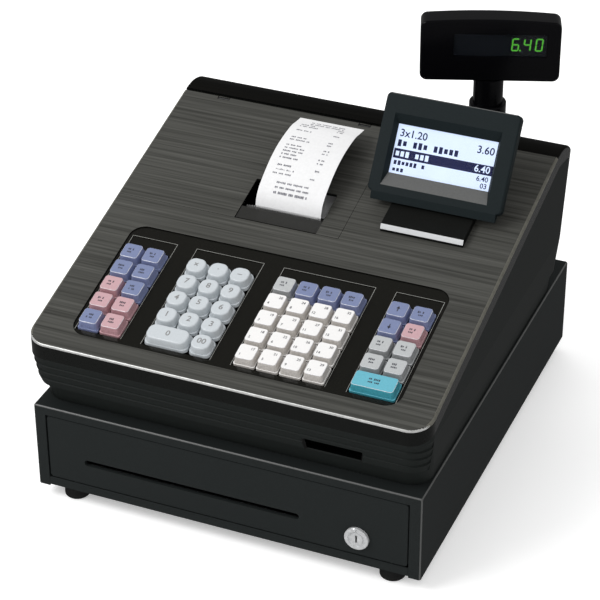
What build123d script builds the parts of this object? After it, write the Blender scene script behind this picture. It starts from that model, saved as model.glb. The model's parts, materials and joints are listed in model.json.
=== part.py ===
from build123d import *
import os
from math import acos, atan2, cos, hypot, pi, radians, sin, sqrt, tan

# Electronic cash register on a steel cash drawer.
# Millimetres. +X is to the operator's right, +Y away from the operator, +Z up.
# The origin is on the table, under the middle of the drawer cabinet.

os.makedirs("parts", exist_ok=True)

# ---------------------------------------------------------------- driving dimensions
CAB_W = 330.0  # drawer cabinet, width
CAB_D = 370.0  # drawer cabinet, front to back
CAB_H = 78.0  # drawer cabinet, height without its feet
FOOT_H = 12.0  # rubber feet
SHEET = 1.2  # steel of the cabinet
BORDER = 10.0  # frame round the drawer front
KEY_PITCH = 19.05  # key spacing, both ways
RIM_RISE = 62.0  # front rim of the case above the cabinet
SLOPE = 13.7  # slope of the keyboard and top panel, degrees
WALL = 2.5  # plastic of the case
PAPER_W = 57.5  # receipt paper
TRAVEL = 250.0  # how far the drawer opens
GAP = 0.3  # gap round covers
RUN = 0.05  # radial clearance of a turning fit

# ---------------------------------------------------------------- derived frame
FRONT = -CAB_D / 2
BACK = CAB_D / 2
CAB_TOP = FOOT_H + CAB_H
CASE_FRONT = FRONT - 3
CASE_HALF = CAB_W / 2 + 3
RIM_Z = CAB_TOP + RIM_RISE
SIN = sin(radians(SLOPE))
COS = cos(radians(SLOPE))

# Places on the sloping panel are given as x, s (up the slope from the front rim) and n (above the panel).
PANEL = Plane(origin=(0, CASE_FRONT, RIM_Z), x_dir=(1, 0, 0), z_dir=(0, -SIN, COS))
SIDE = Plane(origin=(0, CASE_FRONT, RIM_Z), x_dir=(0, COS, SIN), z_dir=(1, 0, 0))


def up_slope(y):
    """Distance up the slope of a panel point at depth y."""
    return (y - CASE_FRONT) / COS


def panel_z(y):
    """Height of the panel at depth y."""
    return RIM_Z + (y - CASE_FRONT) * SIN / COS


def panel_point(s, n):
    """The (y, z) of a place s up the slope and n above the panel."""
    return CASE_FRONT + s * COS - n * SIN, RIM_Z + s * SIN + n * COS


# ---------------------------------------------------------------- case form
HOOD_R = 42.0  # roll-over at the back of the panel
CREST_Y = 120.0  # where the roll-over starts
BACK_LEAN = 12.0  # rear wall leans outwards going up, degrees
SKIRT = 14.0  # height of the top cover's side band
RIM_R = 2.0  # rounded rim of the panel
CORNER_FRONT = 18.0
CORNER_BACK = 24.0
CORNER_EASE = 0.2  # the rear corners stand this far behind the rear wall, so that each meets it in an edge
RIB_COUNT = 4
RIB_STEP = 0.7
RIB_LOW_Z = CAB_TOP + 18.5
RIB_HIGH_Z = RIM_Z - SKIRT
FORM_TOP = CAB_TOP + 152
CREST_S = up_slope(CREST_Y)
HOOD_Y = CREST_Y + HOOD_R * SIN
HOOD_Z = panel_z(CREST_Y) - HOOD_R * COS
LEAN_SIN = sin(radians(BACK_LEAN))
LEAN_COS = cos(radians(BACK_LEAN))
LEAN_Y = HOOD_Y + HOOD_R * LEAN_COS
LEAN_Z = HOOD_Z - HOOD_R * LEAN_SIN

# Height, half width and front face of the case at each level of its outline.
BASE_LEVELS = [
    (CAB_TOP, CASE_HALF - 5.4, CASE_FRONT + 16),
    (RIB_LOW_Z - 3.5, CASE_HALF - 4.8, CASE_FRONT + 11.5),
]
RIB_LOW = (RIB_LOW_Z, CASE_HALF - 2, CASE_FRONT + 6)
RIB_HIGH = (RIB_HIGH_Z, CASE_HALF, CASE_FRONT)
FORM_HIGH = (FORM_TOP, CASE_HALF, CASE_FRONT)


def between(low, high, share):
    """An outline level part of the way from low to high."""
    return tuple(a + (b - a) * share for a, b in zip(low, high))


def ribbed_levels():
    """Outline levels of the front: fine steps, each one leaning out and dropping back."""
    levels = []
    for rib in range(RIB_COUNT):
        z, half, front = between(RIB_LOW, RIB_HIGH, rib / RIB_COUNT)
        levels.append((z, half - RIB_STEP, front + RIB_STEP))
        z, half, front = between(RIB_LOW, RIB_HIGH, (rib + 1) / RIB_COUNT)
        levels.append((z - RIB_STEP, half, front))
    return levels


def back_at(z):
    """Rear wall of the case at height z."""
    return LEAN_Y + (z - LEAN_Z) * LEAN_SIN / LEAN_COS


def case_blank(levels, inset):
    """The case as stacked rounded outlines, before its top is shaped."""
    with BuildPart() as blank:
        for z, half, front in levels:
            back = back_at(z) - inset + CORNER_EASE
            with BuildSketch(Plane.XY.offset(z)) as outline:
                with Locations((0, (front + inset + back) / 2)):
                    Rectangle(2 * (half - inset), back - front - inset)
                fillet(outline.vertices().group_by(Axis.Y)[0], CORNER_FRONT - inset)
                fillet(outline.vertices().group_by(Axis.Y)[-1], CORNER_BACK - inset)
        loft(ruled=True)
    return blank.part


def case_form(levels, inset):
    """The closed outer form of the case, or its inner form when inset."""
    with BuildPart() as form:
        add(case_blank(levels, inset))
        with BuildSketch(Plane.YZ):
            with BuildLine():
                radius = HOOD_R - inset
                crest = (HOOD_Y - radius * SIN, HOOD_Z + radius * COS)
                top = (HOOD_Y, HOOD_Z + radius)
                waist = (HOOD_Y + radius * LEAN_COS, HOOD_Z - radius * LEAN_SIN)
                foot = (back_at(0) - inset, 0)
                nose = (CASE_FRONT - 40, crest[1] - (crest[0] - CASE_FRONT + 40) * SIN / COS)
                Line(nose, crest)
                ThreePointArc(crest, top, waist)
                Polyline(waist, foot, (nose[0], 0), nose)
            make_face()
        extrude(amount=CASE_HALF + 5, both=True, mode=Mode.INTERSECT)
    return form.part


PLAIN_LEVELS = BASE_LEVELS + [RIB_LOW, RIB_HIGH, FORM_HIGH]
RIBBED_LEVELS = BASE_LEVELS + ribbed_levels() + [RIB_HIGH, FORM_HIGH]
CORNER_Y = CASE_FRONT + CORNER_FRONT - 1

with BuildPart() as outer_form:
    add(case_form(PLAIN_LEVELS, 0))
    panel_face = outer_form.faces().filter_by(lambda f: f.normal_at().dot(PANEL.z_dir) > 0.999)
    rim_edges = panel_face.sort_by(Axis.Z)[-1].edges().sort_by(Axis.Y)[:-1]
    fillet(rim_edges, RIM_R)

with BuildPart() as inner_form:
    add(case_form([(CAB_TOP + WALL, *PLAIN_LEVELS[0][1:])] + PLAIN_LEVELS[1:], WALL))


def above_parting():
    """The space above the line where the top cover meets the lower case."""
    with BuildPart() as space:
        with BuildSketch(Plane.YZ):
            with BuildLine():
                turn_y = CREST_Y + 7
                turn = (turn_y, panel_z(turn_y) - SKIRT)
                nose = (CASE_FRONT - 40, panel_z(CASE_FRONT - 40) - SKIRT)
                tail = (BACK + 20, turn[1] - 26)
                high = FORM_TOP + 20
                Line(nose, turn)
                ThreePointArc(turn, (turn_y + 20, turn[1] - 3), tail)
                Polyline(tail, (tail[0], high), (nose[0], high), nose)
            make_face()
        extrude(amount=CASE_HALF + 10, both=True)
    return space.part


upper_space = above_parting()

with BuildPart() as upper_shell:
    add(outer_form.part)
    add(inner_form.part, mode=Mode.SUBTRACT)
    add(upper_space, mode=Mode.INTERSECT)


# ---------------------------------------------------------------- openings in the top cover
DECK_X = 137.5  # half width of the keyboard opening
DECK_S0 = 18.5
DECK_S1 = 146.0
DECK_R = 13.0
LID_RIGHT = 28.8  # the printer lid reaches from the left side to here
LID_FRONT_S = up_slope(-17)
HINGE_R = 3.0  # bead along the back of the printer lid
HINGE_S = CREST_S - HINGE_R - 1.2
HINGE_N = -HINGE_R
HINGE_PIN_R = 1.5
EAR_W = 10.0
EAR_X = (-130.0, 0.0)
SLOT_X0 = -62.4
SLOT_X1 = 9.4
SLOT_S0 = up_slope(-15.8)
SLOT_S1 = up_slope(-2.4)
SLOT_BACK_S = up_slope(30)
NECK_X = 93.0
POLE_X = 96.0
POLE_Y = 150.0
SOCKET_R = 15.5


def panel_block(x0, x1, s0, s1, n0, n1, radius=0.0):
    """A block on the panel, between two places across, up the slope and above the panel."""
    with BuildPart() as block:
        with BuildSketch(PANEL.offset(n0)) as outline:
            with Locations(((x0 + x1) / 2, (s0 + s1) / 2)):
                Rectangle(x1 - x0, s1 - s0)
            if radius:
                fillet(outline.vertices(), radius)
        extrude(amount=n1 - n0)
    return block.part


def panel_spot(x, s, n):
    """A plane parallel to the panel, centred on a place on it."""
    return Plane(origin=(x, *panel_point(s, n)), x_dir=(1, 0, 0), z_dir=PANEL.z_dir)


def side_bar(x0, x1, s, n, radius):
    """A round bar across the machine at a place on the panel."""
    with BuildPart() as bar:
        with BuildSketch(SIDE.offset(x0)):
            with Locations((s, n)):
                Circle(radius)
        extrude(amount=x1 - x0)
    return bar.part


def block(x0, x1, y0, y1, z0, z1):
    """A plain block between two corners."""
    with BuildPart() as made:
        with BuildSketch(Plane.XY.offset(z0)):
            with Locations(((x0 + x1) / 2, (y0 + y1) / 2)):
                Rectangle(x1 - x0, y1 - y0)
        extrude(amount=z1 - z0)
    return made.part


def rod(plane, radius, length):
    """A round rod that stands on a plane."""
    with BuildPart() as made:
        with BuildSketch(plane):
            Circle(radius)
        extrude(amount=length)
    return made.part


# ---------------------------------------------------------------- lower case
CARD_X = 91.0  # memory card recess in the front
CARD_W = 56.0
CARD_H = 22.0
CARD_Z = CAB_TOP + 20.0
CARD_DEEP = 9.0
CORD_R = 3.2
CORD_X = -120.0
CORD_Z = CAB_TOP + 18

with BuildPart() as lower_case:
    add(case_form(RIBBED_LEVELS, 0))
    add(block(-CASE_HALF - 5, CASE_HALF + 5, CASE_FRONT - 5, CORNER_Y, 0, FORM_TOP + 5), mode=Mode.INTERSECT)
    add(outer_form.part.intersect(block(-CASE_HALF - 5, CASE_HALF + 5, CORNER_Y, BACK, 0, FORM_TOP + 5)))
    add(upper_space, mode=Mode.SUBTRACT)
    add(inner_form.part, mode=Mode.SUBTRACT)
    with BuildSketch(Plane.XZ.offset(-CASE_FRONT)):
        with Locations((CARD_X, CARD_Z)):
            RectangleRounded(CARD_W, CARD_H, 2)
    with BuildSketch(Plane.XZ.offset(-CASE_FRONT - CARD_DEEP)):
        with Locations((CARD_X, CARD_Z - 1)):
            RectangleRounded(CARD_W - 12, CARD_H - 5, 2)
    loft(mode=Mode.SUBTRACT)
    with BuildSketch(Plane.XZ.offset(-BACK)):
        with Locations((CORD_X, CORD_Z)):
            Circle(CORD_R + 1.5)
    extrude(amount=40, mode=Mode.SUBTRACT)
lower_case.part.label = "lower_case"
export_step(lower_case.part, "parts/lower_case.step")

# ---------------------------------------------------------------- top cover
EAR_GAP = GAP + 0.2

with BuildPart() as top_cover:
    add(upper_shell.part)
    add(panel_block(-DECK_X, DECK_X, DECK_S0, DECK_S1, -20, 20, DECK_R), mode=Mode.SUBTRACT)
    lid_space = (-CASE_HALF - 10, LID_RIGHT, LID_FRONT_S, HINGE_S + HINGE_R + GAP)
    add(panel_block(*lid_space, -40, 20), mode=Mode.SUBTRACT)
    for x in EAR_X:
        add(panel_block(x - EAR_W / 2, x + EAR_W / 2, HINGE_S, CREST_S + 4, -2 * HINGE_R, -WALL))
        add(side_bar(x - EAR_W / 2, x + EAR_W / 2, HINGE_S, HINGE_N, HINGE_R))
        add(side_bar(x - EAR_W, x + EAR_W, HINGE_S, HINGE_N, HINGE_PIN_R + RUN), mode=Mode.SUBTRACT)
    add(rod(Plane((POLE_X, POLE_Y, HOOD_Z + 5)), SOCKET_R + 0.1, HOOD_R + 20), mode=Mode.SUBTRACT)
top_cover.part.label = "top_cover"
export_step(top_cover.part, "parts/top_cover.step")

# ---------------------------------------------------------------- printer lid
with BuildPart() as printer_lid:
    add(upper_shell.part)
    add(panel_block(-CASE_HALF - 10, LID_RIGHT - GAP, LID_FRONT_S + GAP, HINGE_S, -40, 20), mode=Mode.INTERSECT)
    add(panel_block(SLOT_X0, SLOT_X1, 0, SLOT_BACK_S, -40, 20, 1), mode=Mode.SUBTRACT)
    add(side_bar(-CASE_HALF + WALL, LID_RIGHT - GAP, HINGE_S, HINGE_N, HINGE_R))
    for x in EAR_X:
        notch = EAR_W / 2 + EAR_GAP
        notch_s = HINGE_S - HINGE_R - GAP
        add(panel_block(x - notch, x + notch, notch_s, CREST_S + 5, -9, 5), mode=Mode.SUBTRACT)
        add(side_bar(x - notch - 1, x + notch + 1, HINGE_S, HINGE_N, HINGE_PIN_R))
printer_lid.part.label = "printer_lid"
export_step(printer_lid.part, "parts/printer_lid.step")

# ---------------------------------------------------------------- drawer cabinet
CAB_BOTTOM = FOOT_H
PANEL_HALF = CAB_W / 2 - BORDER - 1  # drawer front
PANEL_LOW = CAB_BOTTOM + BORDER - 0.5
PANEL_HIGH = CAB_TOP - BORDER + 1
FRONT_T = 3.0
BOX_HALF = 148.0  # drawer box, outside
BOX_BACK = 140.0
BOX_LOW = PANEL_LOW - 0.3  # clears the rolled edge of the front bar
BOX_HIGH = CAB_BOTTOM + 57
ROLLER_R = 6.0
ROLLER_W = 8.0
AXLE_R = 2.0
ROLLER_Z = CAB_BOTTOM + 30
CABINET_ROLLER_Y = FRONT + 25
DRAWER_ROLLER_Y = BOX_BACK - 10
CABINET_ROLLER_X = BOX_HALF + 3
DRAWER_ROLLER_X = BOX_HALF + 1
RAIL_WEB_X = CAB_W / 2 - SHEET - 3.8
RAIL_IN_X = BOX_HALF + 2
FOOT_R = 10.5
FOOT_X = CAB_W / 2 - 27.5
FOOT_FRONT_Y = FRONT + 14
FOOT_BACK_Y = BACK - 20
SCREW_R = 2.0
FOOT_PLACES = [(x, y) for x in (-FOOT_X, FOOT_X) for y in (FOOT_FRONT_Y, FOOT_BACK_Y)]
BAR_DEEP = 6.0  # front bar of the cabinet, front to back
LIP_DEEP = 12.0  # folded edges of the cabinet's front frame
LATCH_X = 14.0
LATCH_Y = BOX_BACK + 32
LATCH_Z = CAB_BOTTOM + 17

with BuildPart() as cabinet_cover:
    with BuildSketch(Plane.XY.offset(CAB_BOTTOM)):
        Rectangle(CAB_W, CAB_D)
    extrude(amount=CAB_H)
    fillet(cabinet_cover.edges().filter_by(Axis.Z), 2)
    fillet(cabinet_cover.faces().sort_by(Axis.Z)[-1].edges(), 2)
    inside = CAB_W / 2 - SHEET
    add(block(-inside, inside, FRONT + SHEET, BACK + 5, 0, CAB_TOP - SHEET), mode=Mode.SUBTRACT)
    with BuildSketch(Plane.XZ.offset(CAB_D / 2 + 5)) as opening:
        with Locations((0, (CAB_TOP - BORDER + 2) / 2)):
            Rectangle(CAB_W - 2 * BORDER, CAB_TOP - BORDER + 2)
    extrude(amount=-20, mode=Mode.SUBTRACT)
    # the front border is folded back inside as a box edge
    for side in (-1, 1):
        lip = side * (CAB_W / 2 - BORDER)
        add(block(min(lip, lip + side * SHEET), max(lip, lip + side * SHEET), FRONT, FRONT + LIP_DEEP,
                  CAB_BOTTOM + 3, CAB_TOP - SHEET))
    lip_z = CAB_TOP - BORDER + 2
    add(block(-CAB_W / 2 + BORDER, CAB_W / 2 - BORDER, FRONT, FRONT + LIP_DEEP, lip_z, lip_z + SHEET))
cabinet_cover.part.label = "cabinet_cover"
export_step(cabinet_cover.part, "parts/cabinet_cover.step")

with BuildPart() as cabinet_base:
    pan_half = CAB_W / 2 - SHEET - GAP
    add(block(-pan_half, pan_half, FRONT + BAR_DEEP, BACK, CAB_BOTTOM, CAB_BOTTOM + SHEET))
    add(block(-pan_half, pan_half, BACK - SHEET, BACK, CAB_BOTTOM, CAB_TOP - SHEET - GAP))
    # front bar under the drawer, with a rolled upper edge
    bar_half = CAB_W / 2 - BORDER - GAP
    bar_top = CAB_BOTTOM + 1.5 + SHEET
    bar_back = FRONT + BAR_DEEP + SHEET
    add(block(-bar_half, bar_half, FRONT, bar_back, CAB_BOTTOM + 1.5, bar_top))
    add(block(-bar_half, bar_half, FRONT, FRONT + SHEET, CAB_BOTTOM + 1.5, PANEL_LOW - 1.4))
    add(block(-bar_half, bar_half, FRONT + BAR_DEEP, bar_back, CAB_BOTTOM, bar_top))
    with BuildSketch(Plane.YZ.offset(-bar_half)):
        with Locations((FRONT + 1.3, PANEL_LOW - 2.1)):
            Circle(1.3)
    extrude(amount=2 * bar_half)
    for side in (-1, 1):
        # channel rail that the drawer's rear roller runs in, and the stub axle of the front roller
        web = side * RAIL_WEB_X
        rail_in = side * RAIL_IN_X
        web_out = web + side * SHEET
        rail_y0 = FRONT + 16
        rail_y1 = BACK - 8
        ledge = ROLLER_Z - ROLLER_R - RUN
        roof = ROLLER_Z + ROLLER_R + 3
        add(block(min(web, web_out), max(web, web_out), rail_y0, rail_y1, CAB_BOTTOM, roof))
        add(block(min(rail_in, web_out), max(rail_in, web_out), rail_y0, rail_y1, ledge - SHEET, ledge))
        add(block(min(rail_in, web_out), max(rail_in, web_out), rail_y0, rail_y1, roof - SHEET, roof))
        axle_plane = Plane((web, CABINET_ROLLER_Y, ROLLER_Z), x_dir=(0, 1, 0), z_dir=(-side, 0, 0))
        head_x = RAIL_WEB_X - CABINET_ROLLER_X + 0.1
        add(rod(axle_plane, AXLE_R, head_x))
        add(rod(axle_plane.offset(head_x), AXLE_R + 1.2, 0.8))
    # latch post with a shoulder under the latch lever
    post = Plane((LATCH_X, LATCH_Y, CAB_BOTTOM))
    add(rod(post, 5, LATCH_Z - CAB_BOTTOM - 0.1))
    add(rod(post, 3, LATCH_Z - CAB_BOTTOM + 9))
    for x, y in FOOT_PLACES:
        add(rod(Plane((x, y, 0)), SCREW_R + 0.1, CAB_BOTTOM + 5), mode=Mode.SUBTRACT)
cabinet_base.part.label = "cabinet_base"
export_step(cabinet_base.part, "parts/cabinet_base.step")

with BuildPart() as cabinet_feet:
    with Locations([(x, y, 0) for x, y in FOOT_PLACES]):
        Cylinder(FOOT_R, FOOT_H, align=(Align.CENTER, Align.CENTER, Align.MIN))
    fillet(cabinet_feet.edges().group_by(Axis.Z)[0], 2)
    with Locations([(x, y, FOOT_H) for x, y in FOOT_PLACES]):
        CounterBoreHole(SCREW_R + 0.1, 4.2, 0.01, FOOT_H)
    for x, y in FOOT_PLACES:
        add(rod(Plane((x, y, 0)), 5, 5), mode=Mode.SUBTRACT)
cabinet_feet.part.label = "cabinet_feet"
export_step(cabinet_feet.part, "parts/cabinet_feet.step")

with BuildPart() as foot_screws:
    for x, y in FOOT_PLACES:
        add(rod(Plane((x, y, 2.6)), 4, 2.4))
        add(rod(Plane((x, y, 4)), SCREW_R, CAB_BOTTOM))
        add(rod(Plane((x, y, CAB_BOTTOM + SHEET)), 3.5, 2.4))
        add(block(x - 3, x + 3, y - 0.5, y + 0.5, 2, 3.6), mode=Mode.SUBTRACT)
foot_screws.part.label = "foot_screws"
export_step(foot_screws.part, "parts/foot_screws.step")


def rollers(centre_x, y):
    """A pair of nylon rollers, one each side, on stub axles."""
    with BuildPart() as pair:
        for side in (-1, 1):
            inner = Plane((side * centre_x, y, ROLLER_Z), x_dir=(0, 1, 0), z_dir=(side, 0, 0))
            add(rod(inner, ROLLER_R, ROLLER_W))
            add(rod(inner, AXLE_R + RUN, ROLLER_W), mode=Mode.SUBTRACT)
    return pair


cabinet_rollers = rollers(CABINET_ROLLER_X, CABINET_ROLLER_Y)
cabinet_rollers.part.label = "cabinet_rollers"
export_step(cabinet_rollers.part, "parts/cabinet_rollers.step")

drawer_rollers = rollers(DRAWER_ROLLER_X, DRAWER_ROLLER_Y)
drawer_rollers.part.label = "drawer_rollers"
export_step(drawer_rollers.part, "parts/drawer_rollers.step")

# ---------------------------------------------------------------- drawer
LOCK_X = 112.5
LOCK_Z = CAB_BOTTOM + 26
LOCK_R = 8.0
PLUG_R = 5.5
MEDIA_X = -29.0
MEDIA_W = 186.0
MEDIA_H = 5.5
MEDIA_Z = CAB_BOTTOM + 31.5
TRAY_LOW = MEDIA_Z + 5
TRAY_HIGH = CAB_TOP - 11.5
TRAY_FRONT = FRONT + 6
TRAY_BACK = BOX_BACK - 3
TRAY_HALF = BOX_HALF - 2
LEDGE_IN = TRAY_HALF - 6
PANEL_Y = FRONT + 0.5  # outer face of the drawer front

with BuildPart() as drawer_front:
    with BuildSketch(Plane.XZ.offset(-PANEL_Y)):
        with Locations((0, (PANEL_LOW + PANEL_HIGH) / 2)):
            RectangleRounded(2 * PANEL_HALF, PANEL_HIGH - PANEL_LOW, 3)
    extrude(amount=-FRONT_T)
    fillet(drawer_front.faces().sort_by(Axis.Y)[0].edges(), 0.8)
    with BuildSketch(Plane.XZ.offset(-PANEL_Y + 5)):
        with Locations((MEDIA_X, MEDIA_Z)):
            SlotOverall(MEDIA_W, MEDIA_H)
        with Locations((LOCK_X, LOCK_Z)):
            Circle(LOCK_R)
    extrude(amount=-20, mode=Mode.SUBTRACT)
drawer_front.part.label = "drawer_front"
export_step(drawer_front.part, "parts/drawer_front.step")

STRIKER_Z = LATCH_Z

with BuildPart() as drawer_box:
    box_front = PANEL_Y + FRONT_T
    add(block(-BOX_HALF, BOX_HALF, box_front, BOX_BACK, BOX_LOW, BOX_HIGH))
    add(block(-BOX_HALF + 1, BOX_HALF - 1, box_front + 1, BOX_BACK - 1, BOX_LOW + 1, BOX_HIGH + 1),
        mode=Mode.SUBTRACT)
    with BuildSketch(Plane.XZ.offset(-box_front + 1)):
        with Locations((MEDIA_X, MEDIA_Z)):
            SlotOverall(MEDIA_W, MEDIA_H)
        with Locations((LOCK_X, LOCK_Z)):
            Circle(LOCK_R + 0.2)
    extrude(amount=-3, mode=Mode.SUBTRACT)
    for side in (-1, 1):
        # outward flange that runs on the cabinet's front roller, tray ledge, and stub axle
        flange_z = ROLLER_Z + ROLLER_R + RUN
        wall = side * (BOX_HALF - 0.5)
        rim = side * (CAB_W / 2 - BORDER - 0.5)
        flange_front = FRONT + LIP_DEEP + 1
        add(block(min(wall, rim), max(wall, rim), flange_front, DRAWER_ROLLER_Y - 12, flange_z, flange_z + 1))
        ledge = side * LEDGE_IN
        add(block(min(wall, ledge), max(wall, ledge), box_front + 0.5, BOX_BACK - 0.5, TRAY_LOW - 1.2, TRAY_LOW - 0.2))
        axle_plane = Plane((wall, DRAWER_ROLLER_Y, ROLLER_Z), x_dir=(0, 1, 0), z_dir=(side, 0, 0))
        reach = DRAWER_ROLLER_X + ROLLER_W - BOX_HALF + 0.6
        add(rod(axle_plane, AXLE_R, reach))
        add(rod(axle_plane.offset(reach), AXLE_R + 1.2, 0.8))
    # striker at the back, with a notch in one side for the latch
    add(block(-6, 6, BOX_BACK - 0.5, BOX_BACK + 20, STRIKER_Z, STRIKER_Z + 2))
    add(block(1.5, 8, BOX_BACK + 6, BOX_BACK + 14, STRIKER_Z - 1, STRIKER_Z + 3), mode=Mode.SUBTRACT)
drawer_box.part.label = "drawer_box"
export_step(drawer_box.part, "parts/drawer_box.step")

with BuildPart() as lock_barrel:
    face = Plane((LOCK_X, PANEL_Y - 2.6, LOCK_Z), x_dir=(1, 0, 0), z_dir=(0, 1, 0))
    add(rod(face, 10, 2.6))
    add(rod(face, LOCK_R - 0.1, 24))
    fillet(lock_barrel.edges().group_by(Axis.Y)[0], 0.9)
    add(rod(face, PLUG_R + RUN, 30), mode=Mode.SUBTRACT)
    add(rod(face, PLUG_R + 1.6, 0.8), mode=Mode.SUBTRACT)
    # index notch in the ring, at the locked position
    add(block(LOCK_X - 0.6, LOCK_X + 0.6, PANEL_Y - 3, PANEL_Y - 1.4, LOCK_Z + 7, LOCK_Z + 11), mode=Mode.SUBTRACT)
lock_barrel.part.label = "lock_barrel"
export_step(lock_barrel.part, "parts/lock_barrel.step")

with BuildPart() as lock_plug:
    add(rod(face.offset(0.4), PLUG_R, 25))
    add(block(LOCK_X - 3, LOCK_X + 15, PANEL_Y + 22.6, PANEL_Y + 24.6, LOCK_Z - 4, LOCK_Z + 4))
    add(block(LOCK_X - 0.8, LOCK_X + 0.8, PANEL_Y - 5, PANEL_Y + 6, LOCK_Z - 3.4, LOCK_Z + 3.4), mode=Mode.SUBTRACT)
lock_plug.part.label = "lock_plug"
export_step(lock_plug.part, "parts/lock_plug.step")

# cash tray: a pocket for the coin tray in front and four note bays behind
TRAY_WALL = 2.0
NOTE_BAYS = 4
NOTE_FRONT = FRONT + 130
NOTE_BACK = TRAY_BACK - TRAY_WALL
BAY_W = (2 * TRAY_HALF - TRAY_WALL) / NOTE_BAYS
CLIP_Y = NOTE_BACK - 30
CLIP_Z = TRAY_LOW + 11
CLIP_ROD_R = 1.5
CLIP_L = 27.0
CLIP_W = 34.0
BAY_XS = [-TRAY_HALF + TRAY_WALL / 2 + BAY_W * (bay + 0.5) for bay in range(NOTE_BAYS)]

with BuildPart() as cash_tray:
    add(block(-TRAY_HALF, TRAY_HALF, TRAY_FRONT, TRAY_BACK, TRAY_LOW, TRAY_HIGH))
    add(block(-TRAY_HALF + TRAY_WALL, TRAY_HALF - TRAY_WALL, TRAY_FRONT + TRAY_WALL, NOTE_FRONT - TRAY_WALL,
              TRAY_LOW + TRAY_WALL, TRAY_HIGH + 5), mode=Mode.SUBTRACT)
    for x in BAY_XS:
        half = (BAY_W - TRAY_WALL) / 2
        add(block(x - half, x + half, NOTE_FRONT, NOTE_BACK, TRAY_LOW + TRAY_WALL, TRAY_HIGH + 5), mode=Mode.SUBTRACT)
    rod_hole = Plane((-TRAY_HALF - 1, CLIP_Y, CLIP_Z), x_dir=(0, 1, 0), z_dir=(1, 0, 0))
    add(rod(rod_hole, CLIP_ROD_R + RUN, 2 * TRAY_HALF + 2), mode=Mode.SUBTRACT)
cash_tray.part.label = "cash_tray"
export_step(cash_tray.part, "parts/cash_tray.step")

COIN_COLUMNS = 4
COIN_ROWS = 2
COIN_GAP = 0.5
COIN_HALF = TRAY_HALF - TRAY_WALL - COIN_GAP
COIN_FRONT = TRAY_FRONT + TRAY_WALL + COIN_GAP
COIN_BACK = NOTE_FRONT - TRAY_WALL - COIN_GAP
COIN_LOW = TRAY_LOW + TRAY_WALL + 0.1
COIN_HIGH = TRAY_HIGH - 1

with BuildPart() as coin_tray:
    add(block(-COIN_HALF, COIN_HALF, COIN_FRONT, COIN_BACK, COIN_LOW, COIN_HIGH))
    cup_w = 2 * COIN_HALF / COIN_COLUMNS
    cup_d = (COIN_BACK - COIN_FRONT) / COIN_ROWS
    for column in range(COIN_COLUMNS):
        for row in range(COIN_ROWS):
            x = -COIN_HALF + cup_w * (column + 0.5)
            y = COIN_FRONT + cup_d * (row + 0.5)
            with BuildPart(mode=Mode.PRIVATE) as cup:
                add(block(x - cup_w / 2 + 1.5, x + cup_w / 2 - 1.5, y - cup_d / 2 + 1.5, y + cup_d / 2 - 1.5,
                          COIN_LOW + 1.8, COIN_HIGH + 1))
                fillet(cup.edges().group_by(Axis.Z)[0].filter_by(Axis.X), 12)
            add(cup.part, mode=Mode.SUBTRACT)
coin_tray.part.label = "coin_tray"
export_step(coin_tray.part, "parts/coin_tray.step")

with BuildPart() as note_clip_rod:
    add(rod(rod_hole.offset(1.5), CLIP_ROD_R, 2 * TRAY_HALF - 1))
note_clip_rod.part.label = "note_clip_rod"
export_step(note_clip_rod.part, "parts/note_clip_rod.step")


def note_clip(x):
    """A sprung flap that holds the notes down, on a sleeve round the clip rod."""
    with BuildPart() as clip:
        sleeve = Plane((x - CLIP_W / 2, CLIP_Y, CLIP_Z), x_dir=(0, 1, 0), z_dir=(1, 0, 0))
        add(rod(sleeve, 3, CLIP_W))
        add(block(x - CLIP_W / 2, x + CLIP_W / 2, CLIP_Y - CLIP_L, CLIP_Y, CLIP_Z - 1, CLIP_Z + 1))
        window_half = CLIP_W / 2 - 6
        add(block(x - window_half, x + window_half, CLIP_Y - CLIP_L + 6, CLIP_Y - 7, CLIP_Z - 3, CLIP_Z + 3),
            mode=Mode.SUBTRACT)
        add(rod(sleeve, CLIP_ROD_R + RUN, CLIP_W), mode=Mode.SUBTRACT)
    return clip


note_clip_1 = note_clip(BAY_XS[0])
note_clip_1.part.label = "note_clip_1"
export_step(note_clip_1.part, "parts/note_clip_1.step")

note_clip_2 = note_clip(BAY_XS[1])
note_clip_2.part.label = "note_clip_2"
export_step(note_clip_2.part, "parts/note_clip_2.step")

note_clip_3 = note_clip(BAY_XS[2])
note_clip_3.part.label = "note_clip_3"
export_step(note_clip_3.part, "parts/note_clip_3.step")

note_clip_4 = note_clip(BAY_XS[3])
note_clip_4.part.label = "note_clip_4"
export_step(note_clip_4.part, "parts/note_clip_4.step")

# ---------------------------------------------------------------- drawer latch and kick spring
ARM_T = 3.0
PLUNGER_R = 4.0
PLUNGER_Y = BOX_BACK + 18
PLUNGER_Z = LATCH_Z + 5.5
COIL_X = LATCH_X + 12

with BuildPart() as latch_lever:
    add(rod(Plane((LATCH_X, LATCH_Y, LATCH_Z)), 6, ARM_T))
    add(block(LATCH_X - 4, LATCH_X + 3, BOX_BACK + 8, LATCH_Y, LATCH_Z, LATCH_Z + ARM_T))
    add(block(LATCH_X - 7.5, LATCH_X - 3, BOX_BACK + 8, BOX_BACK + 12, LATCH_Z, LATCH_Z + ARM_T))
    add(rod(Plane((LATCH_X, PLUNGER_Y, LATCH_Z)), 1.5, 9))
    add(rod(Plane((LATCH_X, LATCH_Y, LATCH_Z - 1)), 3 + RUN, 20), mode=Mode.SUBTRACT)
latch_lever.part.label = "latch_lever"
export_step(latch_lever.part, "parts/latch_lever.step")

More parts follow.
